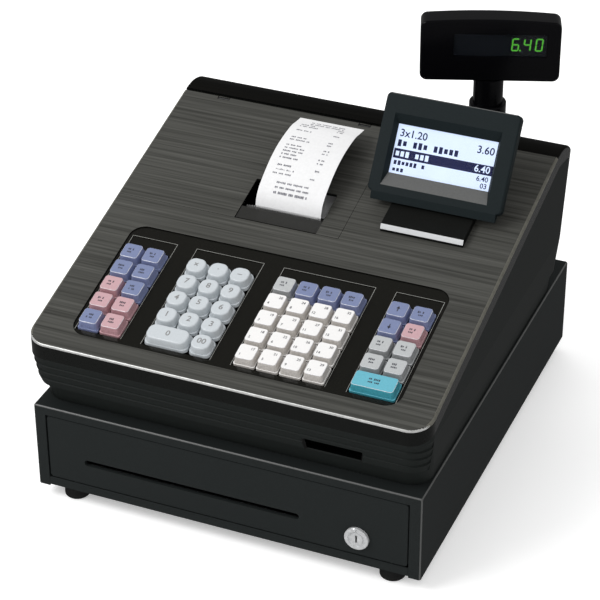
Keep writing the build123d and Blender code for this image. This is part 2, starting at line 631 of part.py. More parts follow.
with BuildPart() as solenoid_plunger:
    along = Plane((COIL_X - 3, PLUNGER_Y, PLUNGER_Z), x_dir=(0, 1, 0), z_dir=(1, 0, 0))
    add(rod(along, PLUNGER_R, 36))
    add(block(LATCH_X - 4.5, COIL_X - 2, PLUNGER_Y - 3, PLUNGER_Y + 3, PLUNGER_Z - 1.5, PLUNGER_Z + 1.5))
    with BuildSketch(Plane.XY.offset(PLUNGER_Z + 5)):
        with Locations((LATCH_X, PLUNGER_Y)):
            SlotOverall(5.2, 3.7, rotation=90)
    extrude(amount=-10, mode=Mode.SUBTRACT)
solenoid_plunger.part.label = "solenoid_plunger"
export_step(solenoid_plunger.part, "parts/solenoid_plunger.step")

with BuildPart() as latch_solenoid:
    add(block(COIL_X, COIL_X + 2, PLUNGER_Y - 12, PLUNGER_Y + 12, CAB_BOTTOM + SHEET, PLUNGER_Z + 12))
    add(block(COIL_X + 32, COIL_X + 34, PLUNGER_Y - 12, PLUNGER_Y + 12, CAB_BOTTOM + SHEET, PLUNGER_Z + 12))
    add(block(COIL_X, COIL_X + 34, PLUNGER_Y - 12, PLUNGER_Y + 12, CAB_BOTTOM + SHEET, CAB_BOTTOM + SHEET + 2))
    add(rod(along.offset(3), 10.5, 34))
    add(rod(along.offset(-5), PLUNGER_R + RUN, 43), mode=Mode.SUBTRACT)
latch_solenoid.part.label = "latch_solenoid"
export_step(latch_solenoid.part, "parts/latch_solenoid.step")

SPRING_X = -60.0
SPRING_L = BACK - SHEET - BOX_BACK - 1.6

with BuildPart() as kick_spring:
    spring_end = (SPRING_X, BOX_BACK + 1.5, PLUNGER_Z)
    with BuildLine() as coil:
        Helix(pitch=SPRING_L / 7, height=SPRING_L - 2, radius=6, center=spring_end, direction=(0, 1, 0))
    with BuildSketch(Plane(origin=coil.line @ 0, z_dir=coil.line % 0)):
        Circle(0.6)
    sweep(path=coil.line, is_frenet=True)
kick_spring.part.label = "kick_spring"
export_step(kick_spring.part, "parts/kick_spring.step")
# ---------------------------------------------------------------- keyboard
KEY_FOOT_N = -2.2  # bottom edge of a key cap
KEY_TOP_N = 6.5
KEY_FOOT = KEY_PITCH - 1.1
KEY_TOP = KEY_PITCH - 4.2
KEY_TRAVEL = 2.5
STEM_W = 5.0
STEM_HOLE = 6.0
DECK_TOP_N = -1.0
BANK_FRAME_N = -1.6  # shallow field round each bank of keys
POCKET_N = -5.2  # floor under the key caps
DECK_LOW_N = -6.8
STEM_LOW_N = -12.0
BOARD_TOP_N = STEM_LOW_N - KEY_TRAVEL - 1.0
BOARD_T = 1.6
DOME_H = 0.9
HOME_S = 72.4  # middle row of keys
BANKS = [(0, 1), (3, 5), (7, 10), (12, 13)]  # first and last key column of each bank
ROWS = range(1, 6)  # row 1 is the furthest from the operator
POST_PLACES = [(x, s) for x in (-DECK_X + 7, DECK_X - 7) for s in (DECK_S0 + 8, DECK_S1 - 8)]


def column_x(column):
    """Middle of a key column; the fourteen columns are centred on the machine."""
    return (column - 6.5) * KEY_PITCH


def row_s(row):
    """Middle of a key row."""
    return HOME_S + (3 - row) * KEY_PITCH


def square_key(column, row, columns_wide=1):
    """A clear square key cap over its legend, with its stem and snap."""
    x = column_x(column) + (columns_wide - 1) * KEY_PITCH / 2
    s = row_s(row)
    extra = (columns_wide - 1) * KEY_PITCH
    with BuildPart() as key:
        for n, size, corner in ((KEY_FOOT_N, KEY_FOOT, 1.6), (KEY_FOOT_N + 2, KEY_FOOT - 0.2, 1.6)):
            with BuildSketch(PANEL.offset(n)):
                with Locations((x, s)):
                    RectangleRounded(size + extra, size, corner)
        loft(ruled=True)
        for n, size, corner in ((KEY_FOOT_N + 2, KEY_FOOT - 1.2, 2), (KEY_TOP_N, KEY_TOP, 2.4)):
            with BuildSketch(PANEL.offset(n)):
                with Locations((x, s)):
                    RectangleRounded(size + extra, size, corner)
        loft(ruled=True)
        fillet(key.faces().sort_by(lambda f: f.center().dot(PANEL.z_dir))[-1].edges(), 0.6)
        add(stem(x, s))
    return key.part


def round_key(column, row, columns_wide=1):
    """A soft-cornered number key with its stem and snap."""
    x = column_x(column) + (columns_wide - 1) * KEY_PITCH / 2
    s = row_s(row)
    extra = (columns_wide - 1) * KEY_PITCH
    with BuildPart() as key:
        for n, size, corner in ((KEY_FOOT_N, KEY_FOOT, 4), (KEY_FOOT_N + 2.4, KEY_FOOT - 0.3, 5)):
            with BuildSketch(PANEL.offset(n)):
                with Locations((x, s)):
                    RectangleRounded(size + extra, size, corner)
        loft(ruled=True)
        for n, size, corner in ((KEY_FOOT_N + 2.4, KEY_FOOT - 0.9, 6.5), (KEY_TOP_N, KEY_TOP, 6)):
            with BuildSketch(PANEL.offset(n)):
                with Locations((x, s)):
                    RectangleRounded(size + extra, size, corner)
        loft(ruled=True)
        fillet(key.faces().sort_by(lambda f: f.center().dot(PANEL.z_dir))[-1].edges(), 1.4)
        add(stem(x, s))
    return key.part


def stem(x, s):
    """The square stem under a key, with two snaps that stop it coming up through the deck."""
    half = STEM_W / 2
    with BuildPart() as made:
        add(panel_block(x - half, x + half, s - half, s + half, STEM_LOW_N, KEY_FOOT_N))
        add(panel_block(x - half - 1.5, x + half + 1.5, s - 1.5, s + 1.5, DECK_LOW_N - 1.3, DECK_LOW_N - GAP))
    return made.part


def key_group(shape, places):
    """Several keys of one shape, each one a separate solid."""
    with BuildPart() as group:
        for place in places:
            add(shape(*place))
    return group


BLUE_FUNCTIONS = [(0, 1), (1, 1), (0, 2), (1, 2), (1, 3), (0, 5)]
PINK_FUNCTIONS = [(0, 3), (0, 4), (1, 4), (1, 5)]
WIDE_ZERO = (3, 5, 2)  # two columns wide
NUMBERS = [(column, row) for column in (3, 4, 5) for row in (1, 2, 3, 4)] + [WIDE_ZERO, (5, 5)]
GREY_DEPARTMENT = [(7, 1)]
BLUE_DEPARTMENTS = [(column, 1) for column in (8, 9, 10)]
WHITE_DEPARTMENTS = [(column, row) for column in (7, 8, 9, 10) for row in (2, 3, 4, 5)]
BLUE_PAYMENTS = [(12, 1), (13, 1), (12, 2)]
PINK_PAYMENT = [(13, 2)]
GREY_PAYMENTS = [(column, row) for column in (12, 13) for row in (3, 4)]
TOTAL = [(12, 5, 2)]
ALL_KEYS = (BLUE_FUNCTIONS + PINK_FUNCTIONS + NUMBERS + GREY_DEPARTMENT + BLUE_DEPARTMENTS
            + WHITE_DEPARTMENTS + BLUE_PAYMENTS + PINK_PAYMENT + GREY_PAYMENTS + TOTAL)
STEMS = [(column_x(place[0]) + (place[2] - 1 if place[2:] else 0) * KEY_PITCH / 2, row_s(place[1]))
         for place in ALL_KEYS]

with BuildPart() as key_deck:
    add(panel_block(-DECK_X + GAP, DECK_X - GAP, DECK_S0 + GAP, DECK_S1 - GAP, DECK_LOW_N, DECK_TOP_N, DECK_R - GAP))
    add(panel_block(-DECK_X - 6, DECK_X + 6, DECK_S0 - 6, DECK_S1 + 6, -WALL - 2.5, -WALL - 0.1, DECK_R + 6))
    for first, last in BANKS:
        x0 = column_x(first) - KEY_PITCH / 2
        x1 = column_x(last) + KEY_PITCH / 2
        s0 = row_s(5) - KEY_PITCH / 2
        s1 = row_s(1) + KEY_PITCH / 2
        add(panel_block(x0 - 0.6, x1 + 0.6, s0 - 0.6, s1 + 14, BANK_FRAME_N, 5, 1), mode=Mode.SUBTRACT)
        add(panel_block(x0, x1, s0, s1, POCKET_N, 5, 1), mode=Mode.SUBTRACT)
    for x, s in STEMS:
        half = STEM_HOLE / 2
        add(panel_block(x - half, x + half, s - half, s + half, DECK_LOW_N - 1, 0), mode=Mode.SUBTRACT)
    for x, s in POST_PLACES:
        add(panel_block(x - 3, x + 3, s - 3, s + 3, BOARD_TOP_N + 0.1, DECK_LOW_N))
        add(rod(panel_spot(x, s, BOARD_TOP_N), 1.2, 6), mode=Mode.SUBTRACT)
key_deck.part.label = "key_deck"
export_step(key_deck.part, "parts/key_deck.step")

with BuildPart() as key_switch_board:
    add(panel_block(-DECK_X + 2, DECK_X - 2, DECK_S0 + 3, DECK_S1 - 3, BOARD_TOP_N - BOARD_T, BOARD_TOP_N, 2))
    for x, s in STEMS:
        with BuildSketch(PANEL.offset(BOARD_TOP_N)):
            with Locations((x, s)):
                Circle(3.5)
        with BuildSketch(PANEL.offset(BOARD_TOP_N + DOME_H)):
            with Locations((x, s)):
                Circle(2)
        loft()
    with BuildSketch(PANEL.offset(BOARD_TOP_N + 2)):
        with Locations(POST_PLACES):
            Circle(1.6)
    extrude(amount=-6, mode=Mode.SUBTRACT)
key_switch_board.part.label = "key_switch_board"
export_step(key_switch_board.part, "parts/key_switch_board.step")

function_keys_blue = key_group(square_key, BLUE_FUNCTIONS)
function_keys_blue.part.label = "function_keys_blue"
export_step(function_keys_blue.part, "parts/function_keys_blue.step")

function_keys_pink = key_group(square_key, PINK_FUNCTIONS)
function_keys_pink.part.label = "function_keys_pink"
export_step(function_keys_pink.part, "parts/function_keys_pink.step")

number_keys = key_group(round_key, NUMBERS)
number_keys.part.label = "number_keys"
export_step(number_keys.part, "parts/number_keys.step")

department_key_grey = key_group(square_key, GREY_DEPARTMENT)
department_key_grey.part.label = "department_key_grey"
export_step(department_key_grey.part, "parts/department_key_grey.step")

department_keys_blue = key_group(square_key, BLUE_DEPARTMENTS)
department_keys_blue.part.label = "department_keys_blue"
export_step(department_keys_blue.part, "parts/department_keys_blue.step")

department_keys_white = key_group(square_key, WHITE_DEPARTMENTS)
department_keys_white.part.label = "department_keys_white"
export_step(department_keys_white.part, "parts/department_keys_white.step")

payment_keys_blue = key_group(square_key, BLUE_PAYMENTS)
payment_keys_blue.part.label = "payment_keys_blue"
export_step(payment_keys_blue.part, "parts/payment_keys_blue.step")

payment_key_pink = key_group(square_key, PINK_PAYMENT)
payment_key_pink.part.label = "payment_key_pink"
export_step(payment_key_pink.part, "parts/payment_key_pink.step")

payment_keys_grey = key_group(square_key, GREY_PAYMENTS)
payment_keys_grey.part.label = "payment_keys_grey"
export_step(payment_keys_grey.part, "parts/payment_keys_grey.step")

total_key = key_group(square_key, TOTAL)
total_key.part.label = "total_key"
export_step(total_key.part, "parts/total_key.step")

# ---------------------------------------------------------------- receipt printer
PAPER_X = -22.0  # middle of the paper
PAPER_T = 0.2
PLATEN_S = 200.0
PLATEN_N = -14.0
PLATEN_R = 6.0
PLATEN_HALF = 30.0
SHAFT_R = 2.5
ROLL_S = 262.0
ROLL_N = -36.0
ROLL_R = 28.0
CORE_R = 6.0
TROUGH_R = ROLL_R + 0.8
PLATE_X0 = PAPER_X - PLATEN_HALF - 4
PLATE_X1 = PAPER_X + PLATEN_HALF + 1
PLATE_T = 2.0
GEAR_MODULE = 0.6
PLATEN_TEETH = 24
PINION_TEETH = 18
GEAR_W = 4.0
GEAR_X = PLATE_X1 + PLATE_T + 0.5
GEAR_SPAN = GEAR_MODULE * (PLATEN_TEETH + PINION_TEETH) / 2 + 0.08
MOTOR_ANGLE = -60.0  # of the motor about the platen, from up the slope
MOTOR_R = 10.0
MOTOR_X = GEAR_X + GEAR_W + 0.8
STRIP_S = SLOT_S1 + 0.5
FLOOR_Z = CAB_TOP + WALL

motor_s = PLATEN_S + GEAR_SPAN * cos(radians(MOTOR_ANGLE))
motor_n = PLATEN_N + GEAR_SPAN * sin(radians(MOTOR_ANGLE))


def gear(teeth, middle, x0, first_tooth):
    """A spur gear across the machine; first_tooth is the angle of one tooth, in degrees."""
    pitch_r = GEAR_MODULE * teeth / 2
    base_r = pitch_r * cos(radians(20))
    tip_r = pitch_r + 0.9 * GEAR_MODULE
    root_r = pitch_r - 1.2 * GEAR_MODULE
    half_tooth = 0.43 * pi / teeth + tan(radians(20)) - radians(20)
    flank = []
    for step in range(5):
        radius = base_r + (tip_r - base_r) * step / 4
        roll = sqrt(max(0.0, (radius / base_r) ** 2 - 1))
        flank.append((radius, half_tooth - (roll - atan2(roll, 1))))
    flank = [(root_r, flank[0][1])] + flank
    corners = []
    for tooth in range(teeth):
        axis = radians(first_tooth) + 2 * pi * tooth / teeth
        corners += [(r * cos(axis - a), r * sin(axis - a)) for r, a in flank]
        corners += [(r * cos(axis + a), r * sin(axis + a)) for r, a in reversed(flank)]
    with BuildPart() as made:
        with BuildSketch(SIDE.offset(x0)):
            with Locations(middle):
                Polygon(*corners, align=None)
        extrude(amount=GEAR_W)
    return made.part


def paper_route():
    """Where the paper runs: off the top of the roll, under the platen and up between platen and head."""
    roll_r = ROLL_R + 0.05 + PAPER_T / 2
    platen_r = PLATEN_R + 0.05 + PAPER_T / 2
    span = hypot(ROLL_S - PLATEN_S, ROLL_N - PLATEN_N)
    toward = atan2(PLATEN_N - ROLL_N, PLATEN_S - ROLL_S)
    turn = toward - acos((roll_r + platen_r) / span)
    leave = (ROLL_S + roll_r * cos(turn), ROLL_N + roll_r * sin(turn))
    meet = (PLATEN_S - platen_r * cos(turn), PLATEN_N - platen_r * sin(turn))
    middle_angle = (turn + 2 * pi) / 2  # half way round, from the lowest contact to the front
    under = (PLATEN_S + platen_r * cos(middle_angle), PLATEN_N + platen_r * sin(middle_angle))
    front = (PLATEN_S - platen_r, PLATEN_N)
    return leave, meet, under, front


with BuildPart() as printer_frame:
    for x in (PLATE_X0, PLATE_X1):
        foot_front = panel_point(STRIP_S - 12, 0)[0]
        foot_back = panel_point(ROLL_S + 34, -30)[0]
        with BuildSketch(Plane.YZ.offset(x)) as plate:
            Polygon(panel_point(STRIP_S - 12, -7), panel_point(PLATEN_S + 24, -9), panel_point(ROLL_S - 22, -20),
                    panel_point(ROLL_S + 34, -26), (foot_back, FLOOR_Z + 0.1), (foot_back - 22, FLOOR_Z + 0.1),
                    panel_point(ROLL_S + 4, -72), panel_point(PLATEN_S + 18, -62),
                    (foot_front + 22, FLOOR_Z + 0.1), (foot_front, FLOOR_Z + 0.1), align=None)
        extrude(amount=PLATE_T)
        add(block(x, x + 10, foot_front, foot_front + 22, FLOOR_Z + 0.1, FLOOR_Z + 2))
        add(block(x, x + 10, foot_back - 22, foot_back, FLOOR_Z + 0.1, FLOOR_Z + 2))
    add(panel_block(SLOT_X0 + 0.2, SLOT_X1 - 0.2, SLOT_S0 + 0.4, STRIP_S, -8, -0.8))
    add(panel_block(PLATE_X0, PLATE_X1 + PLATE_T, STRIP_S - 12, PLATEN_S + 20, -44, -42))
    with BuildSketch(SIDE.offset(PLATE_X0)):
        with Locations((ROLL_S, ROLL_N)):
            Circle(TROUGH_R + 1.4)
            Circle(TROUGH_R, mode=Mode.SUBTRACT)
        with Locations((ROLL_S, ROLL_N + 40)):
            Rectangle(100, 80, mode=Mode.SUBTRACT)
    extrude(amount=PLATE_X1 - PLATE_X0 + PLATE_T)
    for sign in (-1, 1):
        stand_angle = radians(MOTOR_ANGLE + 90 * sign)
        stand_s = motor_s + (MOTOR_R + 3) * cos(stand_angle)
        stand_n = motor_n + (MOTOR_R + 3) * sin(stand_angle)
        add(side_bar(PLATE_X1 + PLATE_T, MOTOR_X, stand_s, stand_n, 2))
    add(side_bar(PLATE_X0 - 5, PLATE_X1 + 5, PLATEN_S, PLATEN_N, SHAFT_R + RUN), mode=Mode.SUBTRACT)
printer_frame.part.label = "printer_frame"
export_step(printer_frame.part, "parts/printer_frame.step")

with BuildPart() as thermal_head:
    add(panel_block(PLATE_X0 + PLATE_T + 0.2, PLATE_X1 - 0.2, PLATEN_S - PLATEN_R - 3.6, PLATEN_S - PLATEN_R - 0.6,
                    -24, -9.5))
    for fin in range(5):
        fin_n = -12 - 2.4 * fin
        add(panel_block(PLATE_X0 + 8, PLATE_X1 - 6, PLATEN_S - PLATEN_R - 8, PLATEN_S - PLATEN_R - 3.6,
                        fin_n - 1, fin_n))
thermal_head.part.label = "thermal_head"
export_step(thermal_head.part, "parts/thermal_head.step")

CUTTER_X0 = PAPER_X - 36
CUTTER_X1 = PAPER_X + 30
TOOTH_W = 1.5

with BuildPart() as paper_cutter:
    with BuildSketch(Plane(origin=(0, *panel_point(STRIP_S + 0.1, 0)), x_dir=(1, 0, 0), z_dir=(0, COS, SIN))):
        with BuildLine():
            teeth = [(CUTTER_X0 + TOOTH_W * step / 2, -0.2 - 1.2 * (step % 2))
                     for step in range(round(2 * (CUTTER_X1 - CUTTER_X0) / TOOTH_W) + 1)]
            Polyline(*teeth, (teeth[-1][0], 6), (CUTTER_X0, 6), teeth[0])
        make_face()
    extrude(amount=0.8)
paper_cutter.part.label = "paper_cutter"
export_step(paper_cutter.part, "parts/paper_cutter.step")

with BuildPart() as platen_roller:
    add(side_bar(PAPER_X - PLATEN_HALF, PAPER_X + PLATEN_HALF - 0.5, PLATEN_S, PLATEN_N, PLATEN_R))
    add(side_bar(PLATE_X0 - 2, GEAR_X + GEAR_W, PLATEN_S, PLATEN_N, SHAFT_R))
    add(gear(PLATEN_TEETH, (PLATEN_S, PLATEN_N), GEAR_X, MOTOR_ANGLE + 180 / PLATEN_TEETH))
platen_roller.part.label = "platen_roller"
export_step(platen_roller.part, "parts/platen_roller.step")

with BuildPart() as motor_pinion:
    add(gear(PINION_TEETH, (motor_s, motor_n), GEAR_X, MOTOR_ANGLE + 180))
    add(side_bar(GEAR_X, MOTOR_X + 8, motor_s, motor_n, 1.5))
motor_pinion.part.label = "motor_pinion"
export_step(motor_pinion.part, "parts/motor_pinion.step")

with BuildPart() as feed_motor:
    add(side_bar(MOTOR_X + 1.2, MOTOR_X + 18, motor_s, motor_n, MOTOR_R))
    with BuildSketch(SIDE.offset(MOTOR_X)):
        with Locations((motor_s, motor_n)):
            SlotOverall(2 * (MOTOR_R + 7), 8, rotation=MOTOR_ANGLE + 90)
    extrude(amount=1.2)
    add(side_bar(MOTOR_X - 1, MOTOR_X + 9, motor_s, motor_n, 1.5 + RUN), mode=Mode.SUBTRACT)
feed_motor.part.label = "feed_motor"
export_step(feed_motor.part, "parts/feed_motor.step")

with BuildPart() as paper_roll:
    add(side_bar(PAPER_X - PAPER_W / 2 + 0.2, PAPER_X + PAPER_W / 2 - 0.2, ROLL_S, ROLL_N, ROLL_R))
    add(side_bar(PAPER_X - PAPER_W, PAPER_X + PAPER_W, ROLL_S, ROLL_N, CORE_R), mode=Mode.SUBTRACT)
paper_roll.part.label = "paper_roll"
export_step(paper_roll.part, "parts/paper_roll.step")

leave, meet, under, front = paper_route()

with BuildPart() as paper_web:
    with BuildSketch(SIDE.offset(PAPER_X - PAPER_W / 2)):
        with BuildLine():
            Line(leave, meet)
            ThreePointArc(meet, under, front)
            Line(front, (front[0], 0.5))
        trace(line_width=PAPER_T)
    extrude(amount=PAPER_W)
paper_web.part.label = "paper_web"
export_step(paper_web.part, "parts/paper_web.step")

# Depth and height above the panel of the torn end of the receipt, as it curls back over the lid.
RECEIPT_CURL = [(14.6, 15.3), (32.7, 20.4), (57, 21), (77.5, 17.5), (96.1, 10.5)]

with BuildPart() as receipt_paper:
    with BuildSketch(Plane.YZ.offset(PAPER_X - PAPER_W / 2)):
        with BuildLine():
            root = panel_point(front[0], 0.7)
            Spline(root, *[(y, panel_z(y) + rise) for y, rise in RECEIPT_CURL], tangents=[(0.15, 1), (1, -0.1)])
        trace(line_width=PAPER_T)
    extrude(amount=PAPER_W)
receipt_paper.part.label = "receipt_paper"
export_step(receipt_paper.part, "parts/receipt_paper.step")

# ---------------------------------------------------------------- operator display
FACE_LEAN = 34.4  # the display faces this far above level
FACE_W = 113.7
FACE_H = 81.2
FACE_Y = 49.0
FACE_Z = FOOT_H + 240.2
BEZEL_T = 8.0
WINDOW_W = 90.8
WINDOW_H = 59.2
WINDOW_X = -1.2
WINDOW_Y = -4.9
GLASS_W = 85.0
GLASS_H = 40.4
GLASS_Y = WINDOW_Y + 1.7
GLASS_DEEP = 5.5
SHELL_BACK = 22.0
TILT_Y = 39.0
TILT_Z = FOOT_H + 201.4
TILT_S = (TILT_Y - CASE_FRONT) * COS + (TILT_Z - RIM_Z) * SIN
TILT_PIN_R = 1.5
KNUCKLE_R = 5.0
KNUCKLE_HALF = 15.0
CHIN_DROP = 6.4  # lower edge of the display, below its face
NECK_HALF = 35.0

FACE = Plane(origin=(NECK_X, FACE_Y, FACE_Z), x_dir=(1, 0, 0),
             z_dir=(0, -cos(radians(FACE_LEAN)), sin(radians(FACE_LEAN))))


def face_block(width, height, z0, z1, x=0.0, y=0.0, radius=0.0):
    """A block in the operator display, by its distance in front of the face."""
    with BuildPart() as made:
        with BuildSketch(FACE.offset(z0)) as outline:
            with Locations((x, y)):
                Rectangle(width, height)
            if radius:
                fillet(outline.vertices(), radius)
        extrude(amount=z1 - z0)
    return made.part


def tilt_bar(x0, x1, radius):
    """A round bar on the tilt axis of the operator display."""
    return rod(Plane((x0, TILT_Y, TILT_Z), x_dir=(0, 1, 0), z_dir=(1, 0, 0)), radius, x1 - x0)


def display_case(inset):
    """The tapering back of the operator display."""
    with BuildPart() as case:
        low_rise = 12 - inset
        for z, width, height, y in ((-BEZEL_T - inset, FACE_W, FACE_H, 0),
                                    (-SHELL_BACK + inset, FACE_W - 16, FACE_H - 6 - low_rise, low_rise / 2 - 3)):
            with BuildSketch(FACE.offset(z)):
                with Locations((0, y)):
                    RectangleRounded(width - 2 * inset, height - 2 * inset, 4 - inset / 2)
        loft(ruled=True)
    return case.part


def chin():
    """The sloping lower edge of the operator display, as a wedge along its width."""
    low = FACE_H / 2
    with BuildPart() as wedge:
        with BuildSketch(Plane(origin=FACE.origin, x_dir=FACE.z_dir, z_dir=(-1, 0, 0))):
            Polygon((0, 2 - low), (0, -low), (-1.5, -low - CHIN_DROP), (-4.0, -low - CHIN_DROP),
                    (-BEZEL_T, -low), (-BEZEL_T, 1 - low), align=None)
        extrude(amount=FACE_W / 2 - 4, both=True)
    return wedge.part


with BuildPart() as display_front:
    add(face_block(FACE_W, FACE_H, -BEZEL_T, 0, radius=4))
    fillet(display_front.faces().sort_by(lambda f: f.center().dot(FACE.z_dir))[-1].edges(), 1.5)
    add(chin())
    add(face_block(FACE_W - 5, FACE_H - 5, -BEZEL_T - 1, -3, radius=3), mode=Mode.SUBTRACT)
    add(face_block(WINDOW_W + 4, WINDOW_H + 4, -GLASS_DEEP - 1.2, -1.5, WINDOW_X, WINDOW_Y))
    with BuildSketch(FACE):
        with Locations((WINDOW_X, WINDOW_Y)):
            Rectangle(WINDOW_W, WINDOW_H)
    with BuildSketch(FACE.offset(-GLASS_DEEP)):
        with Locations((WINDOW_X, GLASS_Y)):
            Rectangle(GLASS_W, GLASS_H)
    loft(mode=Mode.SUBTRACT)
    add(face_block(GLASS_W, GLASS_H, -GLASS_DEEP - 3, -GLASS_DEEP, WINDOW_X, GLASS_Y), mode=Mode.SUBTRACT)
display_front.part.label = "display_front"
export_step(display_front.part, "parts/display_front.step")

with BuildPart() as display_lens:
    add(face_block(GLASS_W + 3, GLASS_H + 3, -GLASS_DEEP - 2.3, -GLASS_DEEP - 1.3, WINDOW_X, GLASS_Y))
display_lens.part.label = "display_lens"
export_step(display_lens.part, "parts/display_lens.step")

with BuildPart() as lcd_panel:
    add(face_block(GLASS_W + 8, GLASS_H + 10, -GLASS_DEEP - 7, -GLASS_DEEP - 2.5, WINDOW_X, GLASS_Y))
lcd_panel.part.label = "lcd_panel"
export_step(lcd_panel.part, "parts/lcd_panel.step")

with BuildPart() as display_back:
    add(display_case(0))
    add(display_case(2), mode=Mode.SUBTRACT)
    add(face_block(FACE_W - 4, FACE_H - 4, -BEZEL_T - 2.5, -BEZEL_T + 1, radius=3), mode=Mode.SUBTRACT)
    add(tilt_bar(NECK_X - KNUCKLE_HALF, NECK_X + KNUCKLE_HALF, KNUCKLE_R))
    for side in (-1, 1):
        ear = sorted((NECK_X + side * (KNUCKLE_HALF + 0.2), NECK_X + side * (KNUCKLE_HALF + 8.6)))
        add(tilt_bar(*ear, KNUCKLE_R + 0.6), mode=Mode.SUBTRACT)
    add(tilt_bar(NECK_X - KNUCKLE_HALF - 7, NECK_X + KNUCKLE_HALF + 7, TILT_PIN_R))
display_back.part.label = "display_back"
export_step(display_back.part, "parts/display_back.step")

with BuildPart() as display_neck:
    with BuildSketch(SIDE.offset(NECK_X - NECK_HALF)):
        Polygon((194.5, 0.1), (194.5, 2.6), (197.2, 6.0), (222, 6.0), (238, 2), (238, 0.1), align=None)
    extrude(amount=2 * NECK_HALF)
    for side in (-1, 1):
        ear_x = sorted((NECK_X + side * (KNUCKLE_HALF + 0.5), NECK_X + side * (KNUCKLE_HALF + 8.1)))
        add(tilt_bar(*ear_x, KNUCKLE_R))
        add(block(*ear_x, TILT_Y - KNUCKLE_R + 1, TILT_Y + KNUCKLE_R - 1, panel_z(TILT_Y) + 2, TILT_Z))
    add(tilt_bar(NECK_X - KNUCKLE_HALF - 9, NECK_X + KNUCKLE_HALF + 9, TILT_PIN_R + RUN), mode=Mode.SUBTRACT)
    # the slot between the ears, open at the back
    slot_half = KNUCKLE_HALF + 0.4
    add(panel_block(NECK_X - slot_half, NECK_X + slot_half, TILT_S - KNUCKLE_R - 0.6, TILT_S + 10, -1, 12),
        mode=Mode.SUBTRACT)
display_neck.part.label = "display_neck"
export_step(display_neck.part, "parts/display_neck.step")

# ---------------------------------------------------------------- customer display
POLE_R = 12.5
POLE_BORE_R = 10.5
POLE_LOW = FOOT_H + 200
POD_Z = FOOT_H + 262.3  # underside of the customer display
POD_W = 115.0
POD_H = 53.0
POD_D = 21.0
POD_TURN = 20.0  # turned away from the operator's front
POD_ARCH = 2.5
POD_WALL = 2.0
POD_SPLIT = 5.0  # seam between the two shells, in front of the pole axis
DIGITS_W = 76.0
DIGITS_H = 20.0
DIGITS_X = 7.9
DIGITS_Y = 6.0
SPIGOT_L = 14.0
COLLAR_TOP = FOOT_H + 239

POD = Plane(origin=(POLE_X, POLE_Y, POD_Z + POD_H / 2), x_dir=(cos(radians(POD_TURN)), sin(radians(POD_TURN)), 0),
            z_dir=(sin(radians(POD_TURN)), -cos(radians(POD_TURN)), 0))


def pod_form(inset, z0, z1):
    """The outline of the customer display, arched along its top, between two depths."""
    with BuildPart() as form:
        with BuildSketch(POD.offset(z0)) as outline:
            half = POD_W / 2 - inset
            low = -POD_H / 2 + inset
            high = POD_H / 2 - inset
            with BuildLine():
                Polyline((-half, high), (-half, low), (half, low), (half, high))
                ThreePointArc((half, high), (0, high + POD_ARCH), (-half, high))
            make_face()
            fillet(outline.vertices(), 6 - inset)
        extrude(amount=z1 - z0)
    return form.part


def pod_block(width, height, z0, z1, x=0.0, y=0.0):
    """A block in the customer display."""
    with BuildPart() as made:
        with BuildSketch(POD.offset(z0)):
            with Locations((x, y)):
                Rectangle(width, height)
        extrude(amount=z1 - z0)
    return made.part


with BuildPart() as pole_collar:
    add(case_form(PLAIN_LEVELS, WALL + 0.1))
    add(case_form(PLAIN_LEVELS, WALL + 2.5), mode=Mode.SUBTRACT)
    add(rod(Plane((POLE_X, POLE_Y, HOOD_Z - 10)), SOCKET_R + 7, 70), mode=Mode.INTERSECT)
    add(rod(Plane((POLE_X, POLE_Y, POLE_LOW - 4)), SOCKET_R, COLLAR_TOP - POLE_LOW + 4))
    fillet(pole_collar.faces().sort_by(Axis.Z)[-1].edges(), 1.2)
    add(rod(Plane((POLE_X, POLE_Y, 100)), POLE_R + RUN, 200), mode=Mode.SUBTRACT)
pole_collar.part.label = "pole_collar"
export_step(pole_collar.part, "parts/pole_collar.step")

with BuildPart() as pole_tube:
    add(rod(Plane((POLE_X, POLE_Y, POLE_LOW)), POLE_R, POD_Z - POLE_LOW - 0.1))
    add(rod(Plane((POLE_X, POLE_Y, POLE_LOW - 1)), POLE_BORE_R, 200), mode=Mode.SUBTRACT)
pole_tube.part.label = "pole_tube"
export_step(pole_tube.part, "parts/pole_tube.step")

with BuildPart() as pod_front:
    add(pod_form(0, POD_SPLIT, POD_D / 2))
    fillet(pod_front.faces().sort_by(lambda f: f.center().dot(POD.z_dir))[-1].edges(), 1.6)
    add(pod_form(POD_WALL, POD_SPLIT - 1, POD_D / 2 - POD_WALL), mode=Mode.SUBTRACT)
    add(pod_block(DIGITS_W, DIGITS_H, 0, 20, DIGITS_X, DIGITS_Y), mode=Mode.SUBTRACT)
pod_front.part.label = "pod_front"
export_step(pod_front.part, "parts/pod_front.step")

with BuildPart() as pod_back:
    add(pod_form(0, -POD_D / 2, POD_SPLIT - 0.1))
    fillet(pod_back.faces().sort_by(lambda f: f.center().dot(POD.z_dir))[0].edges(), 2.5)
    add(pod_form(POD_WALL, -POD_D / 2 + POD_WALL, POD_SPLIT + 1), mode=Mode.SUBTRACT)
    add(rod(Plane((POLE_X, POLE_Y, POD_Z - SPIGOT_L)), POLE_BORE_R - RUN, SPIGOT_L))
    add(rod(Plane((POLE_X, POLE_Y, POD_Z - SPIGOT_L - 1)), POLE_BORE_R - 2.5, SPIGOT_L + 4), mode=Mode.SUBTRACT)
pod_back.part.label = "pod_back"
export_step(pod_back.part, "parts/pod_back.step")

with BuildPart() as pod_window:
    add(pod_block(DIGITS_W - 0.4, DIGITS_H - 0.4, POD_D / 2 - 2.4, POD_D / 2 - 0.8, DIGITS_X, DIGITS_Y))
pod_window.part.label = "pod_window"
export_step(pod_window.part, "parts/pod_window.step")

